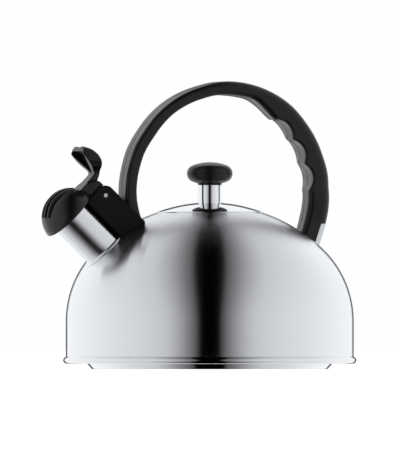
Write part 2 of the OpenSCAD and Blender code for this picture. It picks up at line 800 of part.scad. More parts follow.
// Thickness, half width and corner roundings of the arch at the angle t.
function finger(t) = t < cusp_last || t > cusp_first ? 0
    : let (p = (t - cusp_last) / scallop_step, q = 2 * (p - floor(p)) - 1) scallop_depth * (1 - q * q);
function arch_out(t) = arch_r + rear_flare * max(0, -t);
function arch_thick(t) = t < cusp_last ? mix(rear_t, grip_t, ease(tail_angle, cusp_last, t))
    : t < cusp_first ? grip_t - finger(t)
    : t < scallop_top ? mix(grip_t, top_t, ease(cusp_first, scallop_top, t))
    : mix(top_t, front_t, ease(scallop_top, front_end, t));
function arch_half(t) = t < cusp_last ? mix(rear_half, grip_half, ease(tail_angle, cusp_last, t))
    : mix(grip_half, front_half, ease(widest_until, front_end, t));
function rounding(pair, t) = mix(pair[0], pair[1], ease(rounding_angles[0], rounding_angles[1], t));

// Half of the section, from the seam outside round the side to the seam inside, as (r, y).
function half_section(t) = let (
    ro = arch_out(t), ri = ro - arch_thick(t), w = arch_half(t),
    a = rounding(outer_rounding, t), b = rounding(inner_rounding, t))
    concat([[ro, 0]],
        [for (k = [0 : section_steps]) let (q = 90 * k / section_steps)
            [ro - a + a * cos(q), w - a + a * sin(q)]],
        [for (k = [0 : section_steps]) let (q = 90 * k / section_steps)
            [ri + b - b * sin(q), w - b + b * cos(q)]],
        [[ri, 0]]);

// One half of the solid arch, on the side s of the seam.
module arch_half_solid(s) {
    last = len(stations) - 1;
    points = [for (t = stations) for (p = half_section(t))
        [arch_x + p.x * cos(t), s * p.y, arch_z + p.x * sin(t)]];
    sides = [for (i = [0 : last - 1]) for (k = [0 : section_n - 1])
        let (m = (k + 1) % section_n, a = i * section_n, b = a + section_n)
        each [[a + k, b + k, b + m], [a + k, b + m, a + m]]];
    caps = [[for (k = [section_n - 1 : -1 : 0]) k], [for (k = [0 : section_n - 1]) last * section_n + k]];
    faces = concat(sides, caps);
    polyhedron(points, s > 0 ? [for (f = faces) [for (k = [len(f) - 1 : -1 : 0]) f[k]]] : faces);
}

// Places its children on the seam of the arch at the angle t, Z pointing to the far side.
module on_arch(t, r) translate([arch_x + r * cos(t), 0, arch_z + r * sin(t)])
    rotate([-90, 0, 0]) children();
function arch_mid(t) = arch_out(t) - arch_thick(t) / 2;
module arm_screw() on_arch(arm_screw_angle, arch_mid(arm_screw_angle)) children();

module screw_bores(far_side) for (t = joint_angles) on_arch(t, arch_mid(t)) {
    if (far_side) {
        translate([0, 0, -over]) cylinder(r = joint_screw_r + slip_gap, h = 2 * grip_half);
        translate([0, 0, arch_half(t) - joint_sink - screw_head_h])
            cylinder(r = screw_head_r + screw_hole_gap, h = grip_half);
    } else translate([0, 0, -thread_end - over])
        cylinder(r = joint_screw_r, h = thread_end + 2 * over);
}

module handle_screws() color("lightgray") for (t = joint_angles)
    on_arch(t, arch_mid(t)) translate([0, 0, arch_half(t) - joint_sink])
        pan_screw(arch_half(t) - joint_sink - screw_head_h + thread_end);

// A bent hollow inside the shells, between two angles, where the arch has the thickness t.
module hollow(angles, t, half) translate([arch_x, 0, arch_z]) rotate([90, 0, 0])
    rotate([0, 0, angles[0]]) rotate_extrude(angle = angles[1] - angles[0], $fn = fine)
        translate([arch_r - t + shell_wall, shell_wall - half])
            square([t - 2 * shell_wall, 2 * (half - shell_wall)]);

module handle_hollows() {
    hollow(front_hollow, front_t, front_half);
    hollow(top_hollow, top_t, front_half);
    hollow(grip_hollow, grip_t - scallop_depth, grip_half - rest_gap);
}

// Stands its children on the rear bracket: X out of its face, Z up along its lean.
module on_rear() translate([bracket_x, 0, rear_top]) rotate([0, rear_lean, 0]) children();

module below_top() translate([-far / 2, -far / 2, rear_top - far]) cube(far);

// Everything below the plane of the housing's top, raised by g.
module below_housing_top(g = 0) on_spout() translate([-spout_r, -far / 2, housing_top + g - far])
    cube([spout_l, far, far]);

module handle_half(s, far_side) difference() {
    union() {
        difference() {
            arch_half_solid(s);
            intersection() {
                on_rear() translate([-notch_depth, -far / 2, -far / 2]) cube(far);
                below_top();
            }
        }
        // tongue into the rear bracket
        intersection() {
            on_rear() translate([-notch_depth - over, s > 0 ? 0 : -rear_tongue_half, -rear_up])
                cube([notch_depth + over - bracket_t, rear_tongue_half, 2 * rear_up]);
            below_top();
            translate([arch_x, 0, arch_z]) rotate([90, 0, 0])
                cylinder(r = arch_out(rear_angle), h = far, center = true, $fn = fine);
        }
    }
    below_housing_top();
    dome_cone(rest_gap);
    handle_hollows();
    tab_shape(tab_gap);
    screw_bores(far_side);
    rear_screw_bores();
}

module handle_with_tongue(s, far_side) {
    difference() {
        union() {
            handle_half(s, far_side);
            intersection() {
                tongue_shape(0);
                translate([-far, s > 0 ? 0 : -far, 0]) cube(far);
                below_housing_top(over);
            }
        }
        tab_shape(tab_gap);
    }
}

module handle_near_half() color("#1c1d20") handle_with_tongue(-1, false);
module handle_far_half() color("#1c1d20") handle_with_tongue(1, true);

// Places its children at each rear screw, Z pointing out of the bracket.
module at_rear_screws() for (s = [-1, 1])
    on_rear() translate([0, s * rear_screw_y, -rear_screw_drop]) rotate([0, 90, 0]) children();

// A countersunk head, flush at z = 0 or carried on above it by g.
module rear_head(g = 0) translate([0, 0, -rear_head_h]) cylinder(r1 = rear_screw_r,
    r2 = rear_screw_r + (rear_head_h + g) * rear_head_slope, h = rear_head_h + g, $fn = screw_fn);

module rear_screw_bores() at_rear_screws() {
    translate([0, 0, -rear_screw_l - over])
        cylinder(r = rear_screw_r, h = rear_screw_l + 2 * over, $fn = screw_fn);
    rear_head(over);
}

module rear_bracket() color("gainsboro") difference() {
    intersection() {
        on_rear() difference() {
            translate([-bracket_d, -bracket_half, -rear_up])
                cube([bracket_d, 2 * bracket_half, 2 * rear_up]);
            translate([-bracket_d - over, -bracket_half + bracket_t, -rear_up - over])
                cube([bracket_d + over - bracket_t, 2 * (bracket_half - bracket_t),
                    2 * (rear_up + over)]);
        }
        below_top();
    }
    dome_space();
    rear_screw_bores();
}

module rear_screws() color("lightgray") at_rear_screws() difference() {
    union() {
        rear_head();
        translate([0, 0, -rear_screw_l])
            cylinder(r = rear_screw_r, h = rear_screw_l - rear_head_h, $fn = screw_fn);
    }
    translate([0, 0, -rear_head_h / 2]) cylinder(r = socket_r, h = over, $fn = 6);
}

body_shell();
base_pan();
heat_disc();
base_capsule();
lid_shell();
lid_collar();
knob_ferrule();
knob();
knob_insert();
lid_screw();
lid_washer();
spout_tube();
spout_bracket();
spout_housing();
housing_screws();
hinge_pin();
whistle_spring();
thumb_lever();
whistle_cap();
whistle_plate();
whistle_cup();
whistle_retainer();
handle_near_half();
handle_far_half();
handle_screws();
rear_bracket();
rear_screws();
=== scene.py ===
"""Stovetop whistling kettle: finished surfaces for its parts, and the stage that it stands on."""
from math import acos, asin, atan2, cos, degrees, hypot, pi, radians, sin, sqrt, tan

import bmesh
import bpy
from mathutils import Matrix, Vector

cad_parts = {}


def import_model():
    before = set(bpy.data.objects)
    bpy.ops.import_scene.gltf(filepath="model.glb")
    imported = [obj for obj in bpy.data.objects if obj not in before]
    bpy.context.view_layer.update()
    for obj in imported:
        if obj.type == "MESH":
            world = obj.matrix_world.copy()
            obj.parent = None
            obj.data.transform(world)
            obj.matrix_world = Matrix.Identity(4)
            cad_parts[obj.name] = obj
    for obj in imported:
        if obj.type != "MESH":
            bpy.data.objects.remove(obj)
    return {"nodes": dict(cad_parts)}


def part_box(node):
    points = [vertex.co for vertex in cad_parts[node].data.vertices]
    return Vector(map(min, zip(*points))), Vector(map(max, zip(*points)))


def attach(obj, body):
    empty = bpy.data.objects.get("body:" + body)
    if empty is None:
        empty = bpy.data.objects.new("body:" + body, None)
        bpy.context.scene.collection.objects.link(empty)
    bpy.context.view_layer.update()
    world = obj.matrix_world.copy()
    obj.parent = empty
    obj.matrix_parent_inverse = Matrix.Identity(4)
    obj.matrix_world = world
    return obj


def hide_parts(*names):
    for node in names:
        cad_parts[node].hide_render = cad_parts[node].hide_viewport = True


bl_info = {
    "name": "Whistling Kettle",
    "version": (1, 0, 0),
    "blender": (4, 5, 0),
    "location": "3D View > Sidebar > Kettle",
    "description": "Builds the finished surfaces of a stovetop whistling kettle",
    "category": "Object",
}

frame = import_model()
MM = 0.001


# ---------- what the frame gives ----------

def low(node):
    """The lowest corner of a node's box."""
    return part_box(node)[0]


def high(node):
    """The highest corner of a node's box."""
    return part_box(node)[1]


# ---------- sizes and finishes that a user may change ----------

def length(name, description, mm):
    """A length that is shown in the scene's unit and given here in millimetres."""
    return bpy.props.FloatProperty(
        name=name, description=description, default=mm * MM, unit="LENGTH", precision=5)


def angle(name, description, turn):
    """An angle, given here in degrees."""
    return bpy.props.FloatProperty(
        name=name, description=description, default=radians(turn), unit="ROTATION")


def colour(name, description, value):
    return bpy.props.FloatVectorProperty(
        name=name, description=description, default=value, subtype="COLOR", min=0, max=1)


def share(name, description, value):
    return bpy.props.FloatProperty(
        name=name, description=description, default=value, min=0, max=1, subtype="FACTOR")


class KettleBodySizes(bpy.types.PropertyGroup):
    """Sizes of the turned steel body, its base and its lid."""

    wall_top: length("Wall top", "Height at which the straight wall ends", 36)
    shoulder: length("Shoulder radius", "Radius of the arc between the wall and the crown", 75)
    shoulder_turn: angle("Shoulder turn", "Angle above level at which the shoulder ends", 47)
    sheet: length("Sheet", "Thickness of the body's sheet", 0.8)
    seat: length("Seat radius", "Radius of the step that the lid drops into", 40.3)
    opening: length("Opening radius", "Radius of the filling opening", 36.3)
    ledge: length("Ledge height", "Height of the ledge that the lid rests on", 115.53)
    lid_rise: length("Lid rise", "Rise of the lid from its edge to its middle", 7.4)
    lid_edge: length("Lid edge", "Depth of the turned-down edge of the lid", 1.8)
    knob_height: length("Knob height", "Height of the knob above its ferrule", 17)
    knob_rim: length("Knob rim", "Radius of the knob's rounded rim", 6.5)


class KettleSpoutSizes(bpy.types.PropertyGroup):
    """Sizes of the spout, its housing, the whistle and its lever."""

    rise: angle("Spout angle", "Angle of the spout above level", 43.6)
    mouth_x: length("Mouth distance", "Distance of the mouth's middle from the axis", 108.8)
    mouth_z: length("Mouth height", "Height of the mouth's middle", 113.6)
    tube: length("Tube radius", "Outer radius of the spout tube", 15.1)
    tube_wall: length("Tube wall", "Thickness of the spout tube", 0.9)
    reach: length("Tube reach", "How far the tube reaches into the cap", 6)
    lip: length("Lip width", "Width of the welded lip around the spout's foot", 2.4)
    lip_t: length("Lip thickness", "Thickness of the welded lip", 0.9)
    cap: length("Cap radius", "Radius of the domed cap", 22.3)
    cap_wall: length("Cap wall", "Thickness of the cap", 2.2)
    cap_rim: length("Cap rim", "Distance of the cap's rim in front of the mouth's middle", 2.2)
    slot: length("Slot width", "Width of a steam slot", 3.3)
    slot_pitch: length("Slot pitch", "Distance from slot to slot", 4.9)
    slot_span: angle("Slot span", "Half of the angle that a slot spans", 46)
    slots: bpy.props.IntProperty(name="Slots", description="Number of steam slots", default=5)
    corner: length("Corner radius", "Radius of the housing's corner around the pin", 7.4)
    housing_base: length("Housing base", "Height of the housing's bottom above the axis", 14)
    hub: length("Hub radius", "Radius of the lever's hub", 5)
    hub_half: length("Hub half width", "Half of the width of the lever's hub", 8)
    lever_set: length("Lever set", "Distance of the lever's back in front of the pin", 3.1)
    lever_lift: length("Lever lift", "Height of the middle of the back above the pin", 19.6)
    bend_up: length("Lever bend", "Height of the bend in the lever's front above the pin", 16.5)
    back: length("Lever back", "Radius of the lever's back", 17.7)
    lever_t: length("Lever thickness", "Thickness of the lever behind its thumb dish", 3.9)
    tip: length("Lever tip", "Radius of the lever's two rounded tips", 8.6)
    tip_side: length("Tip offset", "Distance of each rounded tip from the middle", 7.8)
    neck: length("Neck half width", "Half of the width of the lever's neck", 5)
    foot: length("Foot half width", "Half of the width of the lever's foot", 10)


class KettleHandleSizes(bpy.types.PropertyGroup):
    """Sizes of the arched handle and its rear bracket."""

    arch: length("Arch radius", "Radius of the outside of the arch", 79.5)
    arch_x: length("Arch offset", "Distance of the arch's middle behind the axis", 11.5)
    front_t: length("Front thickness", "Thickness of the handle at its front end", 8.7)
    top_t: length("Top thickness", "Thickness of the handle at its top", 10.6)
    grip_t: length("Grip thickness", "Thickness of the grip between two scallops", 17.2)
    rear_t: length("Rear thickness", "Thickness of the handle at its rear end", 17.4)
    scallop: length("Scallop depth", "Depth of the finger scallops", 4)
    scallops: bpy.props.IntProperty(name="Scallops", description="Number of scallops", default=3)
    front_half: length("Front half width", "Half of the width at the front end", 10.8)
    grip_half: length("Grip half width", "Half of the width of the grip", 14)
    rear_half: length("Rear half width", "Half of the width at the rear end", 10.6)


class KettleFinishes(bpy.types.PropertyGroup):
    """Colours and roughness of the finishes."""

    steel: colour("Steel", "Colour of the steel", (0.80, 0.81, 0.83))
    satin: share("Satin roughness", "Roughness of the brushed dome", 0.22)
    polish: share("Polish roughness", "Roughness of the polished steel", 0.07)
    plastic: colour("Plastic", "Colour of the black plastic", (0.0055, 0.006, 0.0075))
    gloss: share("Plastic roughness", "Roughness of the black plastic", 0.30)


class KettleStage(bpy.types.PropertyGroup):
    """Where the camera stands and how bright the surroundings are."""

    azimuth: angle("Camera azimuth", "Turn of the camera about the kettle", -18)
    distance: length("Camera distance", "Distance of the camera from the axis", 12000)
    height: length("Camera height", "Height of the camera above the burner", 20)
    aim_side: length("Aim offset", "How far right of the axis the camera looks", -7.3)
    aim_height: length("Aim height", "Height at which the camera looks", 108.5)
    view: length("View height", "Height of the view at the kettle", 336.75)
    light: bpy.props.FloatProperty(
        name="Light", description="Brightness of the soft surroundings", default=1.08, min=0)


def body_sizes():
    return bpy.context.scene.kettle_body


def spout_sizes():
    return bpy.context.scene.kettle_spout


def handle_sizes():
    return bpy.context.scene.kettle_handle


def finishes():
    return bpy.context.scene.kettle_finishes


# ---------- node trees written as expressions ----------

class Value:
    """A number, vector or colour in a node tree. Maths on a number adds Math nodes."""

    def __init__(self, tree, socket):
        self.tree, self.socket = tree, socket

    def math(self, operation, *others):
        return self.tree.math(operation, self, *others)

    def __add__(self, other):
        return self.math("ADD", other)

    __radd__ = __add__

    def __sub__(self, other):
        return self.math("SUBTRACT", other)

    def __rsub__(self, other):
        return self.tree.math("SUBTRACT", other, self)

    def __mul__(self, other):
        return self.math("MULTIPLY", other)

    __rmul__ = __mul__

    def __truediv__(self, other):
        return self.math("DIVIDE", other)

    def __rtruediv__(self, other):
        return self.tree.math("DIVIDE", other, self)

    def __neg__(self):
        return self.math("MULTIPLY", -1)

    def __abs__(self):
        return self.math("ABSOLUTE")

    def hypot(self, other):
        return (self * self + other * other).math("SQRT")

    def ramp(self, start, end):
        """Eases from 0 at start to 1 at end."""
        return self.tree.add("ShaderNodeMapRange", {"interpolation_type": "SMOOTHSTEP"},
                             {"Value": self, "From Min": start, "From Max": end})


class Tree:
    """A node tree under construction."""

    def __init__(self, tree):
        self.tree = tree

    def add(self, kind, settings=None, values=None, output=0):
        """Adds a node of any kind: its settings first, then its sockets, and gives one output.

        A ramp's settings hold its stops as (place, tone), a switch's the number of its items.
        """
        node = self.tree.nodes.new(kind)
        for name, setting in (settings or {}).items():
            if name == "stops":
                self.set_stops(node.color_ramp, setting)
            elif name == "items":
                while len(node.index_switch_items) < setting:
                    node.index_switch_items.new()
            else:
                setattr(node, name, setting)
        for key, value in (values or {}).items():
            if isinstance(value, Value):
                self.tree.links.new(value.socket, node.inputs[key])
            else:
                node.inputs[key].default_value = value
        return Value(self, node.outputs[output]) if len(node.outputs) else node

    @staticmethod
    def set_stops(ramp, stops):
        """Gives a ramp its greys, from left to right."""
        ramp.elements.remove(ramp.elements[1])
        for i, (place, tone) in enumerate(stops):
            stop = ramp.elements[0] if i == 0 else ramp.elements.new(place)
            stop.position, stop.color = place, (tone, tone, tone, 1)

    def math(self, operation, *values):
        return self.add("ShaderNodeMath", {"operation": operation}, dict(enumerate(values)))

    def parts(self, vector):
        """The x, y and z of a vector."""
        split = self.add("ShaderNodeSeparateXYZ", {}, {0: vector})
        return [Value(self, s) for s in split.socket.node.outputs]

    def vector(self, x, y, z):
        return self.add("ShaderNodeCombineXYZ", {}, {0: x, 1: y, 2: z})


# ---------- materials ----------

class Finish(Tree):
    """A material under construction: a Principled surface with helpers for fine patterns."""

    def __init__(self, name, **constants):
        self.material = bpy.data.materials.new(name + "_finish")
        self.material.use_nodes = True
        super().__init__(self.material.node_tree)
        self.shader = self.tree.nodes["Principled BSDF"]
        for key, value in constants.items():
            self.shader.inputs[key.replace("_", " ")].default_value = value
        self.place = self.add("ShaderNodeTexCoord", {}, {}, "Object")

    def feed(self, socket, value):
        self.tree.links.new(value.socket, self.shader.inputs[socket])

    def noise(self, vector, scale, detail=2.0):
        """Noise from 0 to 1 at a scale in features per metre."""
        return self.add("ShaderNodeTexNoise", {"noise_dimensions": "3D"},
                        {"Vector": vector, "Scale": scale, "Detail": detail})

    def blend(self, factor, first, second):
        return self.add("ShaderNodeMix", {"data_type": "RGBA"},
                        {0: factor, 6: (*first, 1), 7: (*second, 1)}, 2)

    def bump(self, height, depth, strength=1.0):
        self.feed("Normal", self.add("ShaderNodeBump", {},
                                     {"Strength": strength, "Distance": depth, "Height": height}))

    def turned_lines(self, scale):
        """Fine lines that run round the Z axis, with slow changes along each line."""
        x, y, z = self.parts(self.place)
        radius = x.hypot(y) + 1e-6
        way = self.vector(x / radius * 1.3, y / radius * 1.3, (z - radius) * scale)
        return self.noise(way, 1.0, 3.0)


def tinted(value, factor):
    return tuple(c * factor for c in value)


def satin_steel(name):
    """Steel brushed round the axis: it spreads each reflection up and down."""
    steel = tuple(finishes().steel)
    f = Finish(name, Metallic=1.0, Anisotropic=1.0, Anisotropic_Rotation=0.25)
    lines = f.turned_lines(1500)
    cloud = f.noise(f.place, 22)
    f.feed("Base Color", f.blend(lines.ramp(0.3, 0.7), tinted(steel, 0.98), steel))
    f.feed("Roughness", finishes().satin - 0.02 + 0.025 * lines + 0.015 * cloud)
    f.bump(lines, 0.001 * MM, 0.25)
    return f.material


def polished_steel(name, roughness=None, tint=1.0):
    """Steel with a bright finish, faint wipe marks and a slight unevenness."""
    steel = tinted(tuple(finishes().steel), tint)
    rough = finishes().polish if roughness is None else roughness
    f = Finish(name, Metallic=1.0)
    marks = f.noise(f.place, 60, 4)
    cloud = f.noise(f.place, 14)
    f.feed("Base Color", f.blend(cloud, tinted(steel, 0.97), steel))
    f.feed("Roughness", rough * (0.7 + 0.5 * marks + 0.3 * cloud))
    f.bump(cloud, 0.02 * MM, 0.2)
    return f.material


def black_plastic(name, roughness=None, shine=0.36):
    """Moulded black plastic with a fine grain and faint handling marks."""
    dark = tuple(finishes().plastic)
    rough = finishes().gloss if roughness is None else roughness
    f = Finish(name, Specular_IOR_Level=shine)
    grain = f.noise(f.place, 2600, 2)
    cloud = f.noise(f.place, 45, 3)
    f.feed("Base Color", f.blend(cloud.ramp(0.25, 0.75), dark, tinted(dark, 1.5)))
    f.feed("Roughness", rough - 0.05 + 0.06 * cloud + 0.05 * grain)
    f.bump(grain, 0.012 * MM, 0.35)
    return f.material


def plain_metal(name, tone, roughness, scale=700):
    """A small metal part: fine machining texture and slightly uneven colour."""
    f = Finish(name, Metallic=1.0)
    grain = f.noise(f.place, scale, 3)
    cloud = f.noise(f.place, 120)
    f.feed("Base Color", f.blend(cloud, tinted(tone, 0.86), tone))
    f.feed("Roughness", roughness - 0.06 + 0.12 * grain)
    f.bump(grain, 0.01 * MM, 0.3)
    return f.material


# The way each finish is made, and what it is given after its name.
MATERIALS = {
    "satin_steel": (satin_steel,),
    "mirror_steel": (polished_steel, 0.045),
    "polished_steel": (polished_steel,),
    "tube_steel": (polished_steel, 0.2),
    "chrome_ferrule": (polished_steel, 0.05, 1.04),
    "bracket_steel": (polished_steel, 0.2),
    "screw_steel": (plain_metal, (0.62, 0.62, 0.62), 0.32),
    "spring_steel": (plain_metal, (0.42, 0.42, 0.43), 0.30, 1500),
    "whistle_steel": (plain_metal, (0.70, 0.70, 0.71), 0.28, 400),
    "aluminium_core": (plain_metal, (0.78, 0.79, 0.80), 0.42, 300),
    "brass_insert": (plain_metal, (0.72, 0.52, 0.22), 0.30, 900),
    "black_plastic": (black_plastic, 0.34),
    "handle_plastic": (black_plastic,),
    "matt_plastic": (black_plastic, 0.55, 0.16),
    "cap_plastic": (black_plastic, 0.26, 0.5),
}


def material(slot):
    """The finish of a slot, or one of the extra finishes, made when it is first asked for."""
    make, *values = MATERIALS[slot]
    return bpy.data.materials.get(slot + "_finish") or make(slot, *values)


# ---------- making pieces ----------

def plain_mesh(name, work):
    """Turns a closed shape under construction into a mesh whose faces point outwards."""
    mesh = bpy.data.meshes.new(name)
    bmesh.ops.recalc_face_normals(work, faces=work.faces)
    work.to_mesh(mesh)
    work.free()
    return mesh


def placed(name, data):
    """Adds an object to the scene, at the origin."""
    made = bpy.data.objects.new(name, data)
    bpy.context.scene.collection.objects.link(made)
    return made


def removed(made):
    """Takes an object and its mesh out of the file."""
    data = made.data
    bpy.data.objects.remove(made)
    bpy.data.meshes.remove(data)


def dress(name, mesh, slot, body, *nodes, sharp=32, finish=None):
    """Makes a finished piece of a mesh that is already in place.

    Edges that turn by more than sharp degrees stay crisp. The finish is the slot's own, unless
    the mesh has one or another is named.
    """
    if isinstance(mesh, bmesh.types.BMesh):
        mesh = plain_mesh(name, mesh)
    if not mesh.polygons:
        raise RuntimeError(f"{name} has no faces")
    mesh.name = name
    mesh.polygons.foreach_set("use_smooth", [True] * len(mesh.polygons))
    mesh.set_sharp_from_angle(angle=radians(sharp))
    if not mesh.materials:
        mesh.materials.append(material(finish or slot))
    piece = placed(name, mesh)
    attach(piece, body)
    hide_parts(*nodes)
    return piece


def spread(start, end, steps):
    """Evenly spaced numbers from start to end."""
    return [start + (end - start) * i / steps for i in range(steps + 1)]


def arc(centre, radius, start, end, steps):
    """Points of an arc in the (radius, height) plane, angles in degrees."""
    return [(centre[0] + radius * cos(turn), centre[1] + radius * sin(turn))
            for turn in spread(radians(start), radians(end), steps)]


def rounded(corners, steps):
    """Rounds each corner (radius, height, rounding) of an outline into a small arc."""
    points = []
    for i, (x, z, r) in enumerate(corners):
        here = Vector((x, z))
        if r == 0:
            points.append((x, z))
            continue
        before = (Vector(corners[i - 1][:2]) - here).normalized()
        after = (Vector(corners[(i + 1) % len(corners)][:2]) - here).normalized()
        half = before.angle(after) / 2
        centre = here + (before + after).normalized() * r / sin(half)
        first, last = here + before * r / tan(half) - centre, here + after * r / tan(half) - centre
        turn = first.angle_signed(last)
        for k in range(steps + 1):
            p = centre + Matrix.Rotation(-turn * k / steps, 2) @ first
            points.append((p.x, p.y))
    return points


def turned(outline, steps=256):
    """Turns a closed outline of (radius, height) points round the Z axis."""
    mesh = bmesh.new()
    turns = [(cos(2 * pi * k / steps), sin(2 * pi * k / steps)) for k in range(steps)]
    rings = [[mesh.verts.new((0, 0, z))] if r < 1e-7
             else [mesh.verts.new((r * c, r * s, z)) for c, s in turns] for r, z in outline]
    for lower, upper in zip(rings, rings[1:] + rings[:1]):
        for k in range(steps):
            m = (k + 1) % steps
            corners = [lower[k % len(lower)], lower[m % len(lower)],
                       upper[m % len(upper)], upper[k % len(upper)]]
            corners = list(dict.fromkeys(corners))
            if len(corners) > 2:
                mesh.faces.new(corners)
    return mesh


def joined(rings, closed=False):
    """Joins closed rings of points: into a tube with two ends, or closed into a ring itself."""
    mesh = bmesh.new()
    loops = [[mesh.verts.new(p) for p in ring] for ring in rings]
    count = len(loops[0])
    for lower, upper in zip(loops, loops[1:] + (loops[:1] if closed else [])):
        for k in range(count):
            m = (k + 1) % count
            mesh.faces.new([lower[k], lower[m], upper[m], upper[k]])
    if not closed:
        mesh.faces.new(loops[0][::-1])
        mesh.faces.new(loops[-1])
    return mesh


def cut(mesh, *cutters, operation="DIFFERENCE"):
    """Cuts closed shapes out of a closed shape, or keeps what they share."""
    work, *tools = [placed("work", plain_mesh("work", shape)) for shape in (mesh, *cutters)]
    for tool in tools:
        modifier = work.modifiers.new("cut", "BOOLEAN")
        modifier.operation, modifier.solver, modifier.object = operation, "EXACT", tool
    bpy.context.view_layer.update()
    result = bmesh.new()
    evaluated = work.evaluated_get(bpy.context.evaluated_depsgraph_get())
    result.from_mesh(evaluated.to_mesh())
    evaluated.to_mesh_clear()
    for done in [work, *tools]:
        removed(done)
    bmesh.ops.remove_doubles(result, verts=result.verts, dist=1e-6)
    return result


def rod(start, end, radius, steps):
    """A plain round bar between two points, as a cutter."""
    start, end = Vector(start), Vector(end)
    mesh = bmesh.new()
    turn = (end - start).to_track_quat("Z", "Y").to_matrix().to_4x4()
    bmesh.ops.create_cone(mesh, cap_ends=True, segments=steps, radius1=radius, radius2=radius,
                          depth=(end - start).length,
                          matrix=Matrix.Translation((start + end) / 2) @ turn)
    return mesh


# ---------- geometry trees ----------

class Growth(Tree):
    """A geometry node tree with a named input for each of its sizes."""

    def __init__(self, name, **sizes):
        super().__init__(bpy.data.node_groups.new(name, "GeometryNodeTree"))
        self.tree.interface.new_socket("Geometry", in_out="OUTPUT",
                                       socket_type="NodeSocketGeometry")
        self.sizes, self.identifiers = sizes, {}
        for label in sizes:
            item = self.tree.interface.new_socket(label, in_out="INPUT",
                                                  socket_type="NodeSocketFloat")
            self.identifiers[label] = item.identifier
        self.source = self.add("NodeGroupInput").socket.node
        self.points = None

    def size(self, label):
        return Value(self, self.source.outputs[label])

    def given(self, label):
        """The geometry that the tree starts from."""
        self.tree.interface.new_socket(label, in_out="INPUT", socket_type="NodeSocketGeometry")
        return self.size(label)

    def place(self):
        """The x, y and z of each point, in millimetres."""
        if self.points is None:
            split = self.parts(self.add("GeometryNodeInputPosition"))
            self.points = [part * (1 / MM) for part in split]
        return self.points

    def solid(self, inside, lowest, highest, step):
        """The surface where a field crosses zero, within a box: inside is above zero there."""
        margin = Vector((step,) * 3) * 3
        lowest, highest = Vector(lowest) - margin, Vector(highest) + margin
        counts = [max(8, int((b - a) / step)) for a, b in zip(lowest, highest)]
        volume = self.add("GeometryNodeVolumeCube", {},
                          {"Density": inside, "Background": -1.0, "Min": lowest, "Max": highest,
                           "Resolution X": counts[0], "Resolution Y": counts[1],
                           "Resolution Z": counts[2]})
        return self.add("GeometryNodeVolumeToMesh", {}, {"Volume": volume, "Threshold": 0.0})

    def grow(self, geometry, slot, start=None):
        """Ends the tree, runs it and gives its result as a plain mesh."""
        real = self.add("GeometryNodeRealizeInstances", {}, {0: geometry})
        painted = self.add("GeometryNodeSetMaterial", {},
                           {"Geometry": real, "Material": material(slot)})
        self.add("NodeGroupOutput", {}, {0: painted})
        carrier = placed("carrier", start or bpy.data.meshes.new("carrier"))
        modifier = carrier.modifiers.new("grow", "NODES")
        modifier.node_group = self.tree
        for label, value in self.sizes.items():
            modifier[self.identifiers[label]] = float(value)
        bpy.context.view_layer.update()
        graph = bpy.context.evaluated_depsgraph_get()
        mesh = bpy.data.meshes.new_from_object(carrier.evaluated_get(graph), depsgraph=graph)
        carrier.modifiers.remove(modifier)
        removed(carrier)
        return mesh

    def soft_max(self, first, second, soft=0.0):
        """The greater of two fields, rounded where they cross."""
        if soft:
            return self.math("SMOOTH_MAX", first, second, soft)
        return self.math("MAXIMUM", first, second)

    def soft_min(self, first, second, soft=0.0):
        """The lesser of two fields, rounded where they cross."""
        if soft:
            return self.math("SMOOTH_MIN", first, second, soft)
        return self.math("MINIMUM", first, second)

    def all_of(self, *fields, soft=0.0):
        """What lies inside every one of some shapes: fields are below zero inside."""
        shape = fields[0]
        for field in fields[1:]:
            shape = self.soft_max(shape, field, soft)
        return shape


# ---------- the dome's outline ----------

class Dome:
    """The outline of the body: a straight wall, a shoulder arc and a crown arc."""

    def __init__(self):
        s = body_sizes()
        self.wall, self.top = high("body_shell").x, s.wall_top
        self.shoulder, self.turn = s.shoulder, s.shoulder_turn
        self.shoulder_x = self.wall - self.shoulder
        self.crown_z = self.top - self.shoulder_x * tan(self.turn)
        self.crown = self.shoulder + self.shoulder_x / cos(self.turn)

    def height(self, radius, depth=0.0):
        return self.crown_z + sqrt((self.crown - depth) ** 2 - radius ** 2)

    def outline(self, depth, stop):
        """Points from the top of the wall up to a radius, a depth inside the outside."""
        crown = self.crown - depth
        turn = degrees(self.turn)
        shoulder = arc((self.shoulder_x, self.top), self.shoulder - depth, 0, turn, 48)
        return shoulder + arc((0, self.crown_z), crown, turn, degrees(acos(stop / crown)), 44)[1:]

    def outside(self, radius, height):
        """How far a point lies outside the dome; below zero inside it."""
        if height < self.top:
            return radius - self.wall
        if atan2(height - self.crown_z, radius) > self.turn:
            return hypot(radius, height - self.crown_z) - self.crown
        return hypot(radius - self.shoulder_x, height - self.top) - self.shoulder


# ---------- body and base ----------

def make_body():
    """The dome, turned as one sheet with the step that the lid drops into, and its spout hole."""
    s, dome = body_sizes(), Dome()
    floor = low("body_shell").z
    rim, spout_length = 3 * MM, 90 * MM
    edge = rounded([
        (s.seat + rim, dome.height(s.seat + rim), 0), (s.seat, dome.height(s.seat), 0.55 * MM),
        (s.seat, s.ledge, 0.4 * MM), (s.opening, s.ledge, 0.38 * MM),
        (s.opening, s.ledge - s.sheet, 0.38 * MM), (s.seat + s.sheet, s.ledge - s.sheet, 0.4 * MM),
        (s.seat + s.sheet, dome.height(s.seat + s.sheet, s.sheet), 0)], 5)
    outline = ([(dome.wall - s.sheet, floor), (dome.wall, floor)] + dome.outline(0, s.seat + rim)
               + edge[1:-1] + dome.outline(s.sheet, s.seat + s.sheet)[::-1])
    shell = turned(outline, 320)
    bore = spout_sizes().tube - spout_sizes().tube_wall
    shell = cut(shell, rod(spot(0, 0), spot(spout_length, 0), bore, 160))
    dress("dome", shell, "satin_steel", "kettle", "body_shell", sharp=40)


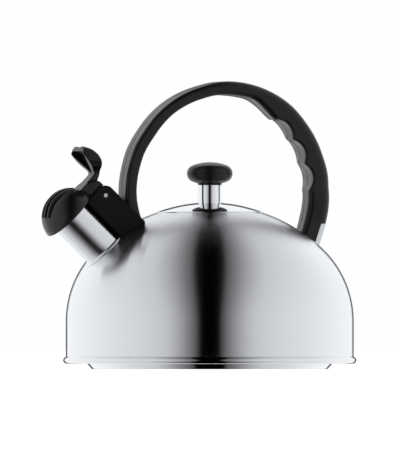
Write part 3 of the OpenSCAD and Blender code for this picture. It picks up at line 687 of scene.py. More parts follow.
def make_base():
    """The pan with the rolled bead that takes the dome's edge, and the pressed foot under it."""
    s = body_sizes()
    reach, lowest, highest = high("base_pan").x, low("base_pan").z, high("base_pan").z
    bead = (highest - lowest) / 2
    middle = (reach - bead, lowest + bead)
    wall, under, seam = high("body_shell").x, high("heat_disc").z, low("body_shell").z
    gap = 0.03 * MM
    outer_end = degrees(acos((wall + gap - middle[0]) / bead))
    inner_start = degrees(acos((wall - s.sheet - gap - middle[0]) / bead))
    pan = ([(0, under), (middle[0] - bead / 2, under)]
           + arc(middle, bead, -80, outer_end, 22)
           + [(wall + gap, seam - gap), (wall - s.sheet - gap, seam - gap)]
           + arc(middle, bead, inner_start, 195, 14)
           + [(middle[0] - bead / 2 - s.sheet, under + s.sheet), (0, under + s.sheet)])
    dress("base_pan_bead", turned(pan, 320), "polished_steel", "kettle", "base_pan", sharp=50)
    foot_top, thin, taper = high("base_capsule").x, 0.6 * MM, 3.5 * MM
    foot = foot_top - taper
    capsule = rounded([
        (0, 0, 0), (foot, 0, 1.3 * MM), (foot_top, under, 0), (foot_top - thin, under, 0),
        (foot - thin, thin, 0.9 * MM), (0, thin, 0)], 6)
    dress("base_foot", turned(capsule, 320), "polished_steel", "kettle", "base_capsule", sharp=50)


# ---------- lid ----------

def make_lid():
    """The domed lid with its turned-down edge, the ring under it, the ferrule and the knob."""
    s = body_sizes()
    reach = high("lid_shell").x
    edge_top = low("lid_shell").z + s.lid_edge
    ball = (reach ** 2 + s.lid_rise ** 2) / (2 * s.lid_rise)
    centre = edge_top + s.lid_rise - ball
    hole, sheet, rim = 2.2 * MM, s.sheet, 3 * MM

    def surface(radius, depth=0.0):
        return centre + sqrt((ball - depth) ** 2 - radius ** 2)

    def dome_arc(start, stop, depth):
        ends = [degrees(acos(r / (ball - depth))) for r in (start, stop)]
        return arc((0, centre), ball - depth, ends[0], ends[1], 40)

    edge_foot = edge_top - s.lid_edge
    edge = rounded([
        (reach - rim, surface(reach - rim), 0), (reach, surface(reach), 0.9 * MM),
        (reach, edge_foot, 0.35 * MM), (reach - sheet, edge_foot, 0.35 * MM),
        (reach - sheet, surface(reach - sheet, sheet), 0.3 * MM),
        (reach - rim, surface(reach - rim, sheet), 0)], 6)
    shell = dome_arc(hole, reach - rim, 0) + edge[1:-1] + dome_arc(reach - rim, hole, sheet)
    dress("lid_cover", turned(shell, 256), "mirror_steel", "lid", "lid_shell", sharp=40)

    collar, thin = high("lid_collar").x, 0.6 * MM
    foot, top = low("lid_collar").z, surface(collar, sheet) - 0.02 * MM
    tube = rounded([(collar - thin, foot, 0.28 * MM), (collar, foot, 0.28 * MM), (collar, top, 0),
                    (collar - thin, top, 0)], 4)
    dress("lid_collar_ring", turned(tube, 192), "whistle_steel", "lid", "lid_collar")

    ferrule, top = high("knob_ferrule").x, high("knob_ferrule").z
    seat = surface(ferrule)
    foot, bead, groove, bevel = seat - 0.2 * MM, seat + 1.4 * MM, 0.18 * MM, 0.3 * MM
    sleeve = [(ferrule, foot), (ferrule, bead - groove), (ferrule - groove, bead),
              (ferrule, bead + groove), (ferrule, top - bevel), (ferrule - bevel, top),
              (ferrule - thin, top), (ferrule - thin, foot)]
    dress("ferrule_sleeve", turned(sleeve, 160), "chrome_ferrule", "lid", "knob_ferrule", sharp=30)

    make_knob(ferrule, top)


def make_knob(ferrule, seat):
    """A flat lens closed by a rounded rim, on a stem that stands inside the ferrule."""
    s = body_sizes()
    reach, rim, half = high("knob").x, s.knob_rim, s.knob_height / 2
    middle = seat + half
    side = reach - rim
    drop = (side ** 2 - (half - rim) ** 2) / (2 * (half - rim))
    lens = half + drop
    join = atan2(drop, side)
    insert, foot = high("knob_insert"), low("knob").z
    stem, bore = ferrule - 0.7 * MM, 2.2 * MM
    collar = ferrule + 0.5 * MM
    under = middle + drop - sqrt(lens ** 2 - collar ** 2)
    groove = 0.22 * MM
    rim_turn, groove_turn = degrees(join), degrees(groove / rim)
    lower = [(lens * sin(a), middle + drop - lens * cos(a))
             for a in spread(asin(collar / lens), pi / 2 - join, 24)]
    upper = [(lens * sin(a), middle - drop + lens * cos(a))
             for a in spread(pi / 2 - join, 0, 26)]
    outline = ([(bore, foot), (stem, foot), (stem, seat), (collar, seat), (collar, under)]
               + lower[1:]
               + arc((side, middle), rim, -rim_turn, -groove_turn, 22)[1:]
               + [(reach - groove, middle)]
               + arc((side, middle), rim, groove_turn, rim_turn, 22)
               + upper[1:-1]
               + [(0, middle + half), (0, insert.z), (insert.x, insert.z),
                  (insert.x, low("knob_insert").z), (bore, low("knob_insert").z)])
    dress("knob_grip", turned(outline, 192), "black_plastic", "lid", "knob", sharp=38)


# ---------- spout ----------

PAN_HEAD, PAN_HEAD_TALL = 2.8 * MM, 1.8 * MM   # radius and height of a pan screw's head
CELL = 0.3 * MM                                # the grid that the moulded pieces grow in


def spot(along, up, across=0.0):
    """A point in the spout's own directions, from the middle of its mouth."""
    s = spout_sizes()
    return Vector((-s.mouth_x + along * cos(s.rise) + up * sin(s.rise), across,
                   s.mouth_z - along * sin(s.rise) + up * cos(s.rise)))


def make_spout():
    """The tube: each line along it runs from the round mouth to the lip and down to the dome."""
    s, dome = spout_sizes(), Dome()
    outer, inner = s.tube, s.tube - s.tube_wall
    mouth, mouth_round, fillet, edge = -s.reach, s.tube_wall / 2, 0.7 * MM, 0.4 * MM
    sunk = -0.1 * MM

    def meets(radius, turn, lift):
        """How far along the spout a line at this radius and turn meets the lifted dome."""
        near, far = 0.0, 100 * MM
        for _ in range(30):
            middle = (near + far) / 2
            p = spot(middle, radius * cos(turn), radius * sin(turn))
            if dome.outside(hypot(p.x, p.y), p.z) > lift:
                near = middle
            else:
                far = middle
        return near

    def on_dome(radius, turn, lift):
        return radius, meets(radius, turn, lift)

    steps, rings = 200, []
    corner = spread(0, pi / 2, 6)
    for k in range(steps):
        turn = 2 * pi * k / steps
        ring = [((outer + inner) / 2 - mouth_round * cos(a),
                 mouth + mouth_round - mouth_round * sin(a)) for a in spread(0, pi, 10)]
        start, straight = mouth + mouth_round, meets(outer, turn, s.lip_t + fillet)
        ring += [(outer, along) for along in spread(start, straight, 8)[1:-1]]
        ring += [on_dome(outer + fillet * (1 - cos(a)), turn, s.lip_t + fillet * (1 - sin(a)))
                 for a in corner]
        ring += [on_dome(outer + s.lip - edge + edge * sin(a), turn,
                         s.lip_t - edge + edge * cos(a)) for a in corner]
        ring += [on_dome(outer + s.lip, turn, sunk), on_dome(inner, turn, sunk)]
        rings.append([spot(u, r * cos(turn), r * sin(turn)) for r, u in ring])
    dress("spout_pipe", joined(rings, closed=True), "polished_steel", "kettle", "spout_tube",
          sharp=35, finish="tube_steel")


def along_up(x, z):
    """How far along and above the spout's axis a place or a field lies. All are in mm."""
    s = spout_sizes()
    dx, dz = x + s.mouth_x / MM, z - s.mouth_z / MM
    return dx * cos(s.rise) - dz * sin(s.rise), dx * sin(s.rise) + dz * cos(s.rise)


def spout_fields(g):
    """The along, up and across distances of each point in the spout's directions, in mm."""
    x, y, z = g.place()
    return (*along_up(x, z), y)


def pin_place():
    """The middle of the hinge pin, in mm."""
    return (low("hinge_pin") + high("hinge_pin")) / 2 / MM


def pin_radius():
    return (high("hinge_pin").x - low("hinge_pin").x) / 2 / MM


def housing_screw_places():
    """How far along and above the spout's axis the housing's two screws lie, in mm."""
    first, last = low("housing_screws") / MM, high("housing_screws") / MM
    head = PAN_HEAD / MM
    return along_up(first.x + head, last.z - head), along_up(last.x - head, first.z + head)


def make_housing():
    """A block on the tube, with a slot for the hub, scribed to the dome and open for two screws."""
    s, dome, pin = spout_sizes(), Dome(), pin_place()
    pin_u, pin_v = along_up(pin.x, pin.z)
    half = high("hinge_pin").y / MM
    tube_gap, hub_gap, hub_side_gap, pin_gap = 0.04, 0.6, 0.3, 0.06
    lip_gap, lip_side_gap = 0.12, 0.2
    well, well_deep = 2.95, 2.4
    g = Growth("housing_tree", corner=s.corner / MM, base=s.housing_base / MM, half=half,
               tube=s.tube / MM + tube_gap, slot_half=s.hub_half / MM + hub_side_gap,
               slot=s.hub / MM + hub_gap)
    u, v, y = spout_fields(g)
    x, _, z = g.place()
    corner = g.soft_max(pin_u - u, 0).hypot(g.soft_max(v - pin_v, 0)) - g.size("corner")
    block = g.all_of(corner, abs(y) - g.size("half"), soft=1.3)
    block = g.all_of(block, g.size("base") - v, soft=1.0)
    axis = v.hypot(y)
    dome_gap = x.hypot(y).hypot(z - dome.crown_z / MM) - dome.crown / MM
    lip = g.all_of(dome_gap - s.lip_t / MM - lip_gap, axis - (s.tube + s.lip) / MM - lip_side_gap)
    slot = g.all_of(g.soft_max(u - pin_u, 0).hypot(g.soft_max(pin_v - v, 0)) - g.size("slot"),
                    abs(y) - g.size("slot_half"), soft=0.6)
    block = g.all_of(block, -slot, soft=0.5)
    block = g.all_of(block, g.size("tube") - axis, -dome_gap, -lip,
                     pin_radius() + pin_gap - (u - pin_u).hypot(v - pin_v))
    for screw_u, screw_v in housing_screw_places():
        screw_well = g.all_of((u - screw_u).hypot(v - screw_v) - well, half - well_deep - y)
        block = g.all_of(block, -screw_well, soft=0.3)
    solid = g.solid(-block, low("spout_housing"), high("spout_housing"), CELL)
    dress("housing_block", g.grow(solid, "matt_plastic"), "black_plastic", "kettle",
          "spout_housing", sharp=50)


# ---------- whistle ----------

def make_cap():
    """Half a hollow ball over the mouth, with a row of slots that follow its curve."""
    s = spout_sizes()
    g = Growth("cap_tree", radius=s.cap / MM, wall=s.cap_wall / MM, rim=s.cap_rim / MM,
               slot=s.slot / MM, pitch=s.slot_pitch / MM, span=s.slot_span)
    u, v, y = spout_fields(g)
    middle = g.size("radius") - g.size("wall") / 2
    shell = abs(u.hypot(v).hypot(y) - middle) - g.size("wall") / 2
    cap = g.all_of(shell, u + g.size("rim"), soft=1.6)
    turn = abs(g.math("ARCTAN2", v, -u))
    past_end = g.soft_max((turn - g.size("span")) * u.hypot(v) + g.size("slot") / 2, 0)
    outermost = (s.slots - 1) / 2
    row = g.math("ROUND", y / g.size("pitch"))
    row = g.math("MINIMUM", g.math("MAXIMUM", row, -outermost), outermost)
    slot = past_end.hypot(y - row * g.size("pitch")) - g.size("slot") / 2
    cap = g.all_of(cap, -slot, soft=0.9)
    solid = g.solid(-cap, low("whistle_cap"), high("whistle_cap"), CELL)
    dress("cap_dome", g.grow(solid, "cap_plastic"), "black_plastic", "whistle", "whistle_cap",
          sharp=50)


def lever_leaf(g):
    """The leaf under the thumb: its solid, the dish in its front, and the front itself.

    From the side it lies between a round back and a bent front. From the front two lobes stand
    on a neck that widens downwards and backwards.
    """
    s, pin = spout_sizes(), pin_place()
    x, y, z = g.place()
    width = abs(y)
    face_x = pin.x - s.lever_set / MM
    back_x, back_z = face_x - s.back / MM, pin.z + s.lever_lift / MM
    bend_x, bend_z = face_x - s.lever_t / MM, pin.z + s.bend_up / MM
    to_back = (x - back_x).hypot(z - back_z)

    def before(turn):
        """How far a point lies in front of a plane through the bend."""
        return (bend_x - x) * cos(turn) + (bend_z - z) * sin(turn)

    def past(turn):
        """How far a point lies past a plane through the middle of the back."""
        return (z - back_z) * cos(turn) - (x - back_x) * sin(turn)

    front = g.soft_min(before(radians(40)), before(radians(-44)), 4)
    leaf = g.all_of(to_back - g.size("back"), front, soft=1.0)
    leaf = g.all_of(leaf, past(radians(87)), soft=4.0)
    leaf = g.all_of(leaf, past(radians(80.2)))

    lobe_z, neck_z = back_z + (s.back - s.tip) / MM - 0.4, back_z - 5
    spread_down, spread_back, flare = 0.2, 0.9, radians(43.8)
    web_top, valley_floor = lobe_z - 2, lobe_z + 0.87 * s.tip / MM
    beside = width - g.size("neck")
    behind = g.soft_max(x - bend_x, 0)
    neck = g.soft_min(beside - (neck_z - z) * spread_down - behind * spread_back,
                      beside * cos(flare) - (z - neck_z) * sin(flare), 1.5)
    web = g.all_of(neck, z - web_top)
    lobe = (width - g.size("tip_side")).hypot(z - lobe_z) - g.size("tip")
    valley = g.all_of(width - g.size("tip_side"), z - valley_floor)
    outline = g.soft_min(g.soft_min(lobe, web, 2.0), valley, 2.0)
    leaf = g.all_of(leaf, outline, soft=1.8)

    dish_foot = neck_z + 1.0
    dish = g.all_of(to_back - g.size("back") + g.size("thick"), outline + g.size("rim"), soft=0.8)
    dish = g.all_of(dish, (dish_foot - z + width) * cos(pi / 4), soft=1.0)
    return leaf, dish, front


def lever_foot(g):
    """The block under the leaf that lies on the cap, with a sloping nose and brow."""
    pin = pin_place()
    _, pin_v = along_up(pin.x, pin.z)
    u, v, y = spout_fields(g)

    def above(place_u, place_v, slope):
        """How far a point lies above a sloping line through a place, seen from the side."""
        return (v - place_v) * cos(slope) - (u - place_u) * sin(slope)

    nose, heel, sole, top = -11.6, 3, 15, pin_v + 5
    foot = g.all_of(nose - u, above(nose, 23, radians(61.57)), above(-7, 31.5, radians(28.31)),
                    v - top, u - heel, sole - v, soft=1.0)
    return g.all_of(foot, abs(y) - g.size("foot"), soft=1.2)


def make_lever():
    """A dished leaf with two lobes on a foot, which a hub carries on the hinge pin."""
    s, pin = spout_sizes(), pin_place()
    pin_u, pin_v = along_up(pin.x, pin.z)
    housing_gap, spring_gap, spring_half, pin_gap = 0.3, 0.6, 3.6, 0.26
    arm_start, arm_half = -6, 4.5
    g = Growth("lever_tree", back=s.back / MM, thick=s.lever_t / MM, tip=s.tip / MM,
               tip_side=s.tip_side / MM, neck=s.neck / MM, foot=s.foot / MM, rim=1.8,
               hub=s.hub / MM, hub_half=s.hub_half / MM, corner=s.corner / MM + housing_gap)
    u, v, y = spout_fields(g)
    leaf, dish, front = lever_leaf(g)
    lever = g.soft_min(leaf, lever_foot(g), 1.5)
    around_pin = (u - pin_u).hypot(v - pin_v)
    housing = g.all_of(pin_u - g.size("corner") - u, v - pin_v)
    lever = g.all_of(lever, g.size("corner") - around_pin, -housing, soft=0.4)
    arm = g.all_of(arm_start - u, u - pin_u, abs(v - pin_v) - arm_half)
    hub = g.all_of(g.soft_min(around_pin - g.size("hub"), arm), abs(y) - g.size("hub_half"),
                   soft=0.5)
    spring_room = g.all_of(pin_u - g.size("hub") - spring_gap - u, abs(y) - spring_half)
    lever = g.soft_min(lever, g.all_of(hub, -spring_room, soft=0.4), 0.3)
    lever = g.all_of(lever, -dish, front, soft=0.8)
    cap = u.hypot(v).hypot(y) - s.cap / MM
    lever = g.all_of(lever, -cap, pin_radius() + pin_gap - around_pin)
    solid = g.solid(-lever, low("thumb_lever"), high("thumb_lever"), CELL)
    dress("lever_grip", g.grow(solid, "black_plastic"), "black_plastic", "whistle", "thumb_lever",
          sharp=50)


# ---------- handle ----------

# Places along the arch are turns in degrees, from 0 at its rear over 90 at its top.
ARCH_START, ARCH_END = -32.6, 200.5       # the swept arch, before its ends are cut
CUSP_FIRST, CUSP_LAST = 54.5, -2.0        # the highest and the lowest cusp between scallops
GRIP_END, TAIL = 77, -24                  # where the grip ends, above and below
GRIP_NARROWS, FRONT = 65, 180             # where it starts to narrow, and the narrow front
REAR_FLARE = 0.17                         # how far the arch opens with each degree below level
FRONT_FLARE = (1.4, 162, 190)             # its depth in mm, and where it starts and is full
# A dip's depth in mm, and where it starts, is full, starts to fade and has faded.
REAR_SHOULDER = (0.9, 6, 20, 36, 54)
FRONT_SHOULDER = (1.15, 90, 108, 144, 162)
TOP_DIP = (1.1, 86, 104, 124, 152)
REAR_LEAN = radians(18.5)                 # how far the bracket leans back from upright
BRACKET_T, BRACKET_DEEP = 1.5 * MM, 4.3 * MM
FOOT_GAP = 1.1 * MM                       # between the bracket's sides and the handle's end


def ease(t, start, end):
    """Eases from 0 at start to 1 at end, for a number or a field."""
    if isinstance(t, Value):
        return t.ramp(start, end)
    part = min(1, max(0, (t - start) / (end - start)))
    return part * part * (3 - 2 * part)


def dip(t, depth, start, full, fading, end):
    """Eases from 0 to a depth and back to 0."""
    return depth * ease(t, start, full) * (1 - ease(t, fading, end))


def arch_middle():
    """The middle of the arch, seen from the side, in mm."""
    s = handle_sizes()
    return s.arch_x / MM, (high("handle_near_half").z - s.arch) / MM


def arch_outside(t, below):
    """Radius of the outside of the arch: it opens at its ends and its shoulders are flatter."""
    rise, start, end = FRONT_FLARE
    return (handle_sizes().arch / MM + REAR_FLARE * below - dip(t, *REAR_SHOULDER)
            - dip(t, *FRONT_SHOULDER) + rise * ease(t, start, end))


def arch_full(t):
    """Thickness of the arch before the scallops are cut, in mm."""
    s = handle_sizes()
    rear, grip, top, front = [size / MM for size in (s.rear_t, s.grip_t, s.top_t, s.front_t)]
    return (rear + (grip - rear) * ease(t, TAIL, CUSP_LAST)
            + (top - grip) * ease(t, CUSP_FIRST, GRIP_END)
            + (front - top) * ease(t, GRIP_END, FRONT) - dip(t, *TOP_DIP))


def arch_half(t):
    """Half of the width of the arch, in mm."""
    s = handle_sizes()
    rear, grip, front = [size / MM for size in (s.rear_half, s.grip_half, s.front_half)]
    return (rear + (grip - rear) * ease(t, TAIL, CUSP_LAST)
            + (front - grip) * ease(t, GRIP_NARROWS, FRONT))


def scallop_turn():
    """How many degrees of the arch one scallop takes."""
    return (CUSP_FIRST - CUSP_LAST) / handle_sizes().scallops


def arch_section(g, k, t):
    """The depth below the outside, and the distance from the seam, of the section's points.

    The points run from the seam along the outside, round its edge, down the side, round the
    inner edge and back to the seam.
    """
    outside_end, side_start, side_end, inside_start, last = 5, 15, 20, 32, 40
    crisp_start, crisp_end, inner_crisper, scallop_crisper = 60, 140, 0.4, 2.2
    tail_fade, top_fade = CUSP_LAST - 20, CUSP_FIRST + 26

    def run(first, final):
        """From 0 to 1 along a run of the points."""
        return g.math("MINIMUM", g.math("MAXIMUM", (k - first) / (final - first), 0), 1)

    in_grip = g.math("GREATER_THAN", t, CUSP_LAST) * g.math("LESS_THAN", t, CUSP_FIRST)
    from_middle = 2 * g.math("FRACT", (t - CUSP_LAST) / scallop_turn()) - 1
    hill = from_middle * from_middle
    thick = arch_full(t) - g.size("scallop") * in_grip * (1 - hill)
    ends = t.ramp(tail_fade, CUSP_LAST) * (1 - t.ramp(CUSP_FIRST, top_fade))
    ridge = g.size("scallop") * (in_grip * hill + (1 - in_grip) * ends)

    crisp = t.ramp(crisp_start, crisp_end)
    outer = g.size("outer_round")
    outer = outer + (g.size("crisp") - outer) * crisp
    inner = g.size("inner_round")
    inner = inner + (g.size("crisp") - inner_crisper - inner) * crisp
    inner = inner - scallop_crisper * in_grip * (1 - crisp)

    half = arch_half(t)
    down = run(side_start, side_end)
    outer_turn = run(outside_end, side_start) * (pi / 2)
    inner_turn = run(side_end, inside_start) * (pi / 2)
    across = ((half - outer) * run(0, outside_end) + outer * g.math("SINE", outer_turn)
              - inner * (1 - g.math("COSINE", inner_turn))
              - (half - inner) * run(inside_start, last))
    fade = g.size("fade") * (across / half).ramp(0.05, 0.95) * ridge
    depth = (outer * (1 - g.math("COSINE", outer_turn)) + (thick - outer - inner) * down
             + inner * g.math("SINE", inner_turn) - fade * down)
    return depth, across


def handle_half(name, side):
    """One shell of the handle: its section is swept along the arch.

    On the far shell the ridges between the scallops fade towards its side.
    """
    around, stations = 41, 297
    g = Growth(name + "_tree", outer_round=6, inner_round=4.2, crisp=2.4, seam=0.09,
               scallop=handle_sizes().scallop / MM, fade=0.7 if side > 0 else 0.0)
    index = g.add("GeometryNodeInputIndex")
    station = g.math("FLOOR", (index + 0.5) / around)
    t = station * ((ARCH_END - ARCH_START) / stations) + ARCH_START
    depth, across = arch_section(g, g.math("MODULO", index, around), t)
    r = arch_outside(t, g.math("MAXIMUM", -t, 0)) - depth
    across = g.math("MAXIMUM", across, g.size("seam")) * side
    turn = t * (pi / 180)
    centre_x, centre_z = arch_middle()
    place = g.vector((centre_x + r * g.math("COSINE", turn)) * MM, across * MM,
                     (centre_z + r * g.math("SINE", turn)) * MM)
    tube = g.add("GeometryNodeMeshCylinder", {"fill_type": "NGON"},
                 {"Vertices": around, "Side Segments": stations})
    swept = g.add("GeometryNodeSetPosition", {}, {"Geometry": tube, "Position": place})
    grown = g.grow(swept, "handle_plastic")
    mesh = bmesh.new()
    mesh.from_mesh(grown)
    bpy.data.meshes.remove(grown)
    bmesh.ops.recalc_face_normals(mesh, faces=mesh.faces)
    by_seam, seam_bevel = 0.2 * MM, 0.42 * MM
    seam_edges = [e for e in mesh.edges if len(e.link_faces) == 2
                  and e.calc_face_angle() > radians(60)
                  and all(abs(v.co.y) < by_seam for v in e.verts)]
    bmesh.ops.bevel(mesh, geom=seam_edges, offset=seam_bevel, offset_type="OFFSET", segments=3,
                    profile=0.5, affect="EDGES", clamp_overlap=True)
    return mesh


def slab(place, x0, x1, z0, z1, half=60 * MM):
    """A block across the kettle between two pairs of limits in a pair of directions."""
    corners = [(x0, z0), (x1, z0), (x1, z1), (x0, z1)]
    return joined([[place(along, up, across) for along, up in corners]
                   for across in (-half, half)])


def upright(along, up, across):
    """A point in the kettle's own directions, for a slab."""
    return Vector((along, across, up))


def dome_block(grow):
    """The whole space inside the dome, grown a little, as a cutter."""
    dome = Dome()
    return turned([(0, 0), (dome.wall + grow, 0)] + dome.outline(-grow, 20 * MM)
                  + [(0, dome.height(0, -grow))], 256)


def on_rear(out, up, across=0.0):
    """A point in the rear bracket's directions: out from its outside and up along its lean."""
    top = high("rear_bracket")
    return Vector((top.x + out * cos(REAR_LEAN) + up * sin(REAR_LEAN), across,
                   top.z - out * sin(REAR_LEAN) + up * cos(REAR_LEAN)))


def make_handle():
    """Two shells, cut off over the housing, at the rear bracket and above the dome."""
    pin, dome_gap = pin_place(), 0.5 * MM
    _, pin_v = along_up(pin.x, pin.z)
    housing_top = (pin_v + spout_sizes().corner / MM) * MM
    rear_top = high("rear_bracket").z
    for name, side, node in (("handle_near_shell", -1, "handle_near_half"),
                             ("handle_far_shell", 1, "handle_far_half")):
        notch = cut(slab(on_rear, -BRACKET_DEEP - FOOT_GAP, 40 * MM, -60 * MM, 20 * MM),
                    slab(upright, 0, 0.2, rear_top - 0.1, rear_top, 70 * MM),
                    operation="INTERSECT")
        front = slab(spot, -60 * MM, 120 * MM, -100 * MM, housing_top)
        shell = cut(handle_half(name, side), front, notch, dome_block(dome_gap))
        dress(name, shell, "handle_plastic", "kettle", node, sharp=38)


def make_rear_bracket():
    """A channel folded from sheet: it lies on the handle's end and runs down to the dome."""
    half, deep, sheet = high("rear_bracket").y, BRACKET_DEEP, BRACKET_T
    section = rounded([(0, -half, 0.8 * MM), (0, half, 0.8 * MM), (-deep, half, 0.3 * MM),
                       (-deep, half - sheet, 0.3 * MM), (-sheet, half - sheet, 0.4 * MM),
                       (-sheet, sheet - half, 0.4 * MM), (-deep, sheet - half, 0.3 * MM),
                       (-deep, -half, 0.3 * MM)], 6)
    rings = [[on_rear(out, up, y) for out, y in section] for up in (-40 * MM, 30 * MM)]
    top = high("rear_bracket").z
    channel = cut(joined(rings), slab(upright, 0, 0.2, top, top + 0.1), dome_block(0.05 * MM))
    dress("rear_bracket_channel", channel, "bracket_steel", "kettle", "rear_bracket", sharp=30)


# ---------- fasteners and spring ----------

SCREW_R, REAR_SCREW_R = 1.5 * MM, 1.3 * MM
HANDLE_SCREWS = (182.5, 118.0, 70.0, 3.0)     # where they stand along the arch
REAR_SCREWS_DOWN, REAR_SCREWS_APART = 4.2 * MM, 4 * MM


def hex_socket(depth):
    """The recess of a screw's head, as a cutter that is centred on its top."""
    socket = bmesh.new()
    bmesh.ops.create_cone(socket, cap_ends=True, segments=6, radius1=1.2 * MM, radius2=1.2 * MM,
                          depth=depth)
    return socket


def pan_screw(shank_radius, shank):
    """A threaded pan-head screw along Z with its head's top at the origin."""
    head, tall, crown, edge = PAN_HEAD, PAN_HEAD_TALL, 0.7 * MM, 0.15 * MM
    pitch, thread = 0.7 * MM, 0.18 * MM
    outline = ([(0, 0)] + [(head - crown + crown * sin(a), -crown + crown * cos(a))
                           for a in spread(0, pi / 2, 6)]
               + [(head, -tall + edge), (head - edge, -tall), (shank_radius, -tall)])
    z = -tall
    while z - pitch > -tall - shank + shank_radius:
        outline += [(shank_radius, z - edge), (shank_radius - thread, z - pitch / 2)]
        z -= pitch
    outline += [(shank_radius * 0.9, z), (0.2 * MM, -tall - shank), (0, -tall - shank)]
    return cut(turned(outline, 32), hex_socket(2 * MM))


def countersunk_screw(shank_radius, shank):
    """A countersunk screw along Z with its flat top at the origin."""
    head, tall, edge = 2.6 * MM, 1.2 * MM, 0.12 * MM
    outline = [(0, 0), (head - edge, 0), (head, -edge), (shank_radius, -tall),
               (shank_radius, -shank + shank_radius), (0.2 * MM, -shank), (0, -shank)]
    return cut(turned(outline, 48), hex_socket(1.2 * MM))


def place_screws(name, node, screw, places, turn):
    """Sets one screw at each place, by instances that are then made real."""
    g = Growth(name + "_tree")
    choices = {str(i): place for i, place in enumerate(places)}
    chosen = g.add("GeometryNodeIndexSwitch", {"data_type": "VECTOR", "items": len(places)},
                   {"Index": g.add("GeometryNodeInputIndex"), **choices})
    points = g.add("GeometryNodePoints", {}, {"Count": len(places), "Position": chosen})
    copies = g.add("GeometryNodeInstanceOnPoints", {},
                   {"Points": points, "Instance": g.given("Screw"), "Rotation": turn})
    dress(name, g.grow(copies, "screw_steel", plain_mesh(name, screw)), "screw_steel", "kettle",
          node, sharp=35)


def arch_thickness(t):
    """Thickness of the arch at one place, in mm, less what a scallop takes there."""
    if not CUSP_LAST < t < CUSP_FIRST:
        return arch_full(t)
    from_middle = 2 * (((t - CUSP_LAST) / scallop_turn()) % 1) - 1
    return arch_full(t) - handle_sizes().scallop / MM * (1 - from_middle * from_middle)


def make_fasteners():
    """The screws of the housing, of the handle's two shells and of the rear bracket."""
    across = (-pi / 2, 0, 0)
    half, head_drop = high("hinge_pin").y, 0.5 * MM
    shank = half - head_drop - PAN_HEAD_TALL - low("housing_screws").y
    place_screws("housing_screw_pair", "housing_screws", pan_screw(SCREW_R, shank),
                 [spot(u * MM, v * MM, half - head_drop) for u, v in housing_screw_places()],
                 across)
    centre_x, centre_z = arch_middle()
    sunk, bite = 1.2, 2
    for n, t in enumerate(HANDLE_SCREWS):
        middle = arch_outside(t, max(0, -t)) - arch_thickness(t) / 2
        place = Vector((centre_x + middle * cos(radians(t)), arch_half(t) - sunk,
                        centre_z + middle * sin(radians(t)))) * MM
        place_screws(f"handle_screw_{n + 1}", "handle_screws",
                     pan_screw(SCREW_R, (arch_half(t) + bite) * MM), [place], across)
    places = [on_rear(0, -REAR_SCREWS_DOWN, side * REAR_SCREWS_APART) for side in (-1, 1)]
    place_screws("rear_screw_pair", "rear_screws", countersunk_screw(REAR_SCREW_R, 10 * MM), places,
                 (0, pi / 2 + REAR_LEAN, 0))


def make_spring():
    """A coil round the pin with one leg on the lever and one on the housing."""
    turns, steps, wire, radius, gap = 4, 40, 0.4, 3.2, 0.35
    count = turns * steps
    g = Growth("spring_tree", wire=wire, radius=radius, pitch=2 * wire + gap, leg=3.0)
    index = g.add("GeometryNodeInputIndex")
    step = g.math("MINIMUM", g.math("MAXIMUM", index - 1, 0), count)
    turn = step * (2 * pi / steps)
    ends = g.math("GREATER_THAN", index, count + 1.5) - g.math("LESS_THAN", index, 0.5)
    along = g.size("radius") * g.math("COSINE", turn)
    up = g.size("radius") * g.math("SINE", turn) + g.size("leg") * ends
    pin = (low("hinge_pin") + high("hinge_pin")) / 2
    rise = spout_sizes().rise
    place = g.vector(pin.x + (along * cos(rise) + up * sin(rise)) * MM,
                     g.size("pitch") * (step / steps - turns / 2) * MM,
                     pin.z + (up * cos(rise) - along * sin(rise)) * MM)
    line = g.add("GeometryNodeMeshLine", {}, {"Count": count + 3})
    line = g.add("GeometryNodeSetPosition", {}, {"Geometry": line, "Position": place})
    curve = g.add("GeometryNodeMeshToCurve", {}, {"Mesh": line})
    section = g.add("GeometryNodeCurvePrimitiveCircle", {"mode": "RADIUS"},
                    {"Resolution": 10, "Radius": g.size("wire") * MM})
    coil = g.add("GeometryNodeCurveToMesh", {}, {"Curve": curve, "Profile Curve": section,
                                                 "Fill Caps": True})
    dress("torsion_spring", g.grow(coil, "spring_steel"), "spring_steel", "kettle",
          "whistle_spring", sharp=60)


# ---------- parts that keep their shape ----------

INNER_NODES = {"heat_disc": "aluminium_core", "knob_insert": "brass_insert",
               "lid_screw": "screw_steel", "lid_washer": "screw_steel",
               "spout_bracket": "bracket_steel", "hinge_pin": "screw_steel",
               "whistle_plate": "whistle_steel", "whistle_cup": "whistle_steel",
               "whistle_retainer": "spring_steel"}


def finish_inner_nodes():
    """The small parts inside keep their shape and get their finish."""
    for node, slot in INNER_NODES.items():
        part = frame["nodes"][node]
        part.data.materials.clear()
        part.data.materials.append(material(slot))


# ---------- stage ----------

def make_camera():
    """A far camera at the height of the burner, aimed a little above the kettle's middle."""
    s = bpy.context.scene.kettle_stage
    data = bpy.data.cameras.new("camera")
    camera = placed("camera", data)
    toward = Vector((sin(s.azimuth), -cos(s.azimuth), 0))
    right = Vector((cos(s.azimuth), sin(s.azimuth), 0))
    camera.location = toward * s.distance + Vector((0, 0, s.height))
    aim = right * s.aim_side + Vector((0, 0, s.aim_height))
    away = aim - camera.location
    camera.rotation_euler = away.to_track_quat("-Z", "Y").to_euler()
    data.sensor_width = 36
    data.lens = data.sensor_width * away.length / s.view
    data.clip_start, data.clip_end = 0.1, 60
    bpy.context.scene.camera = camera


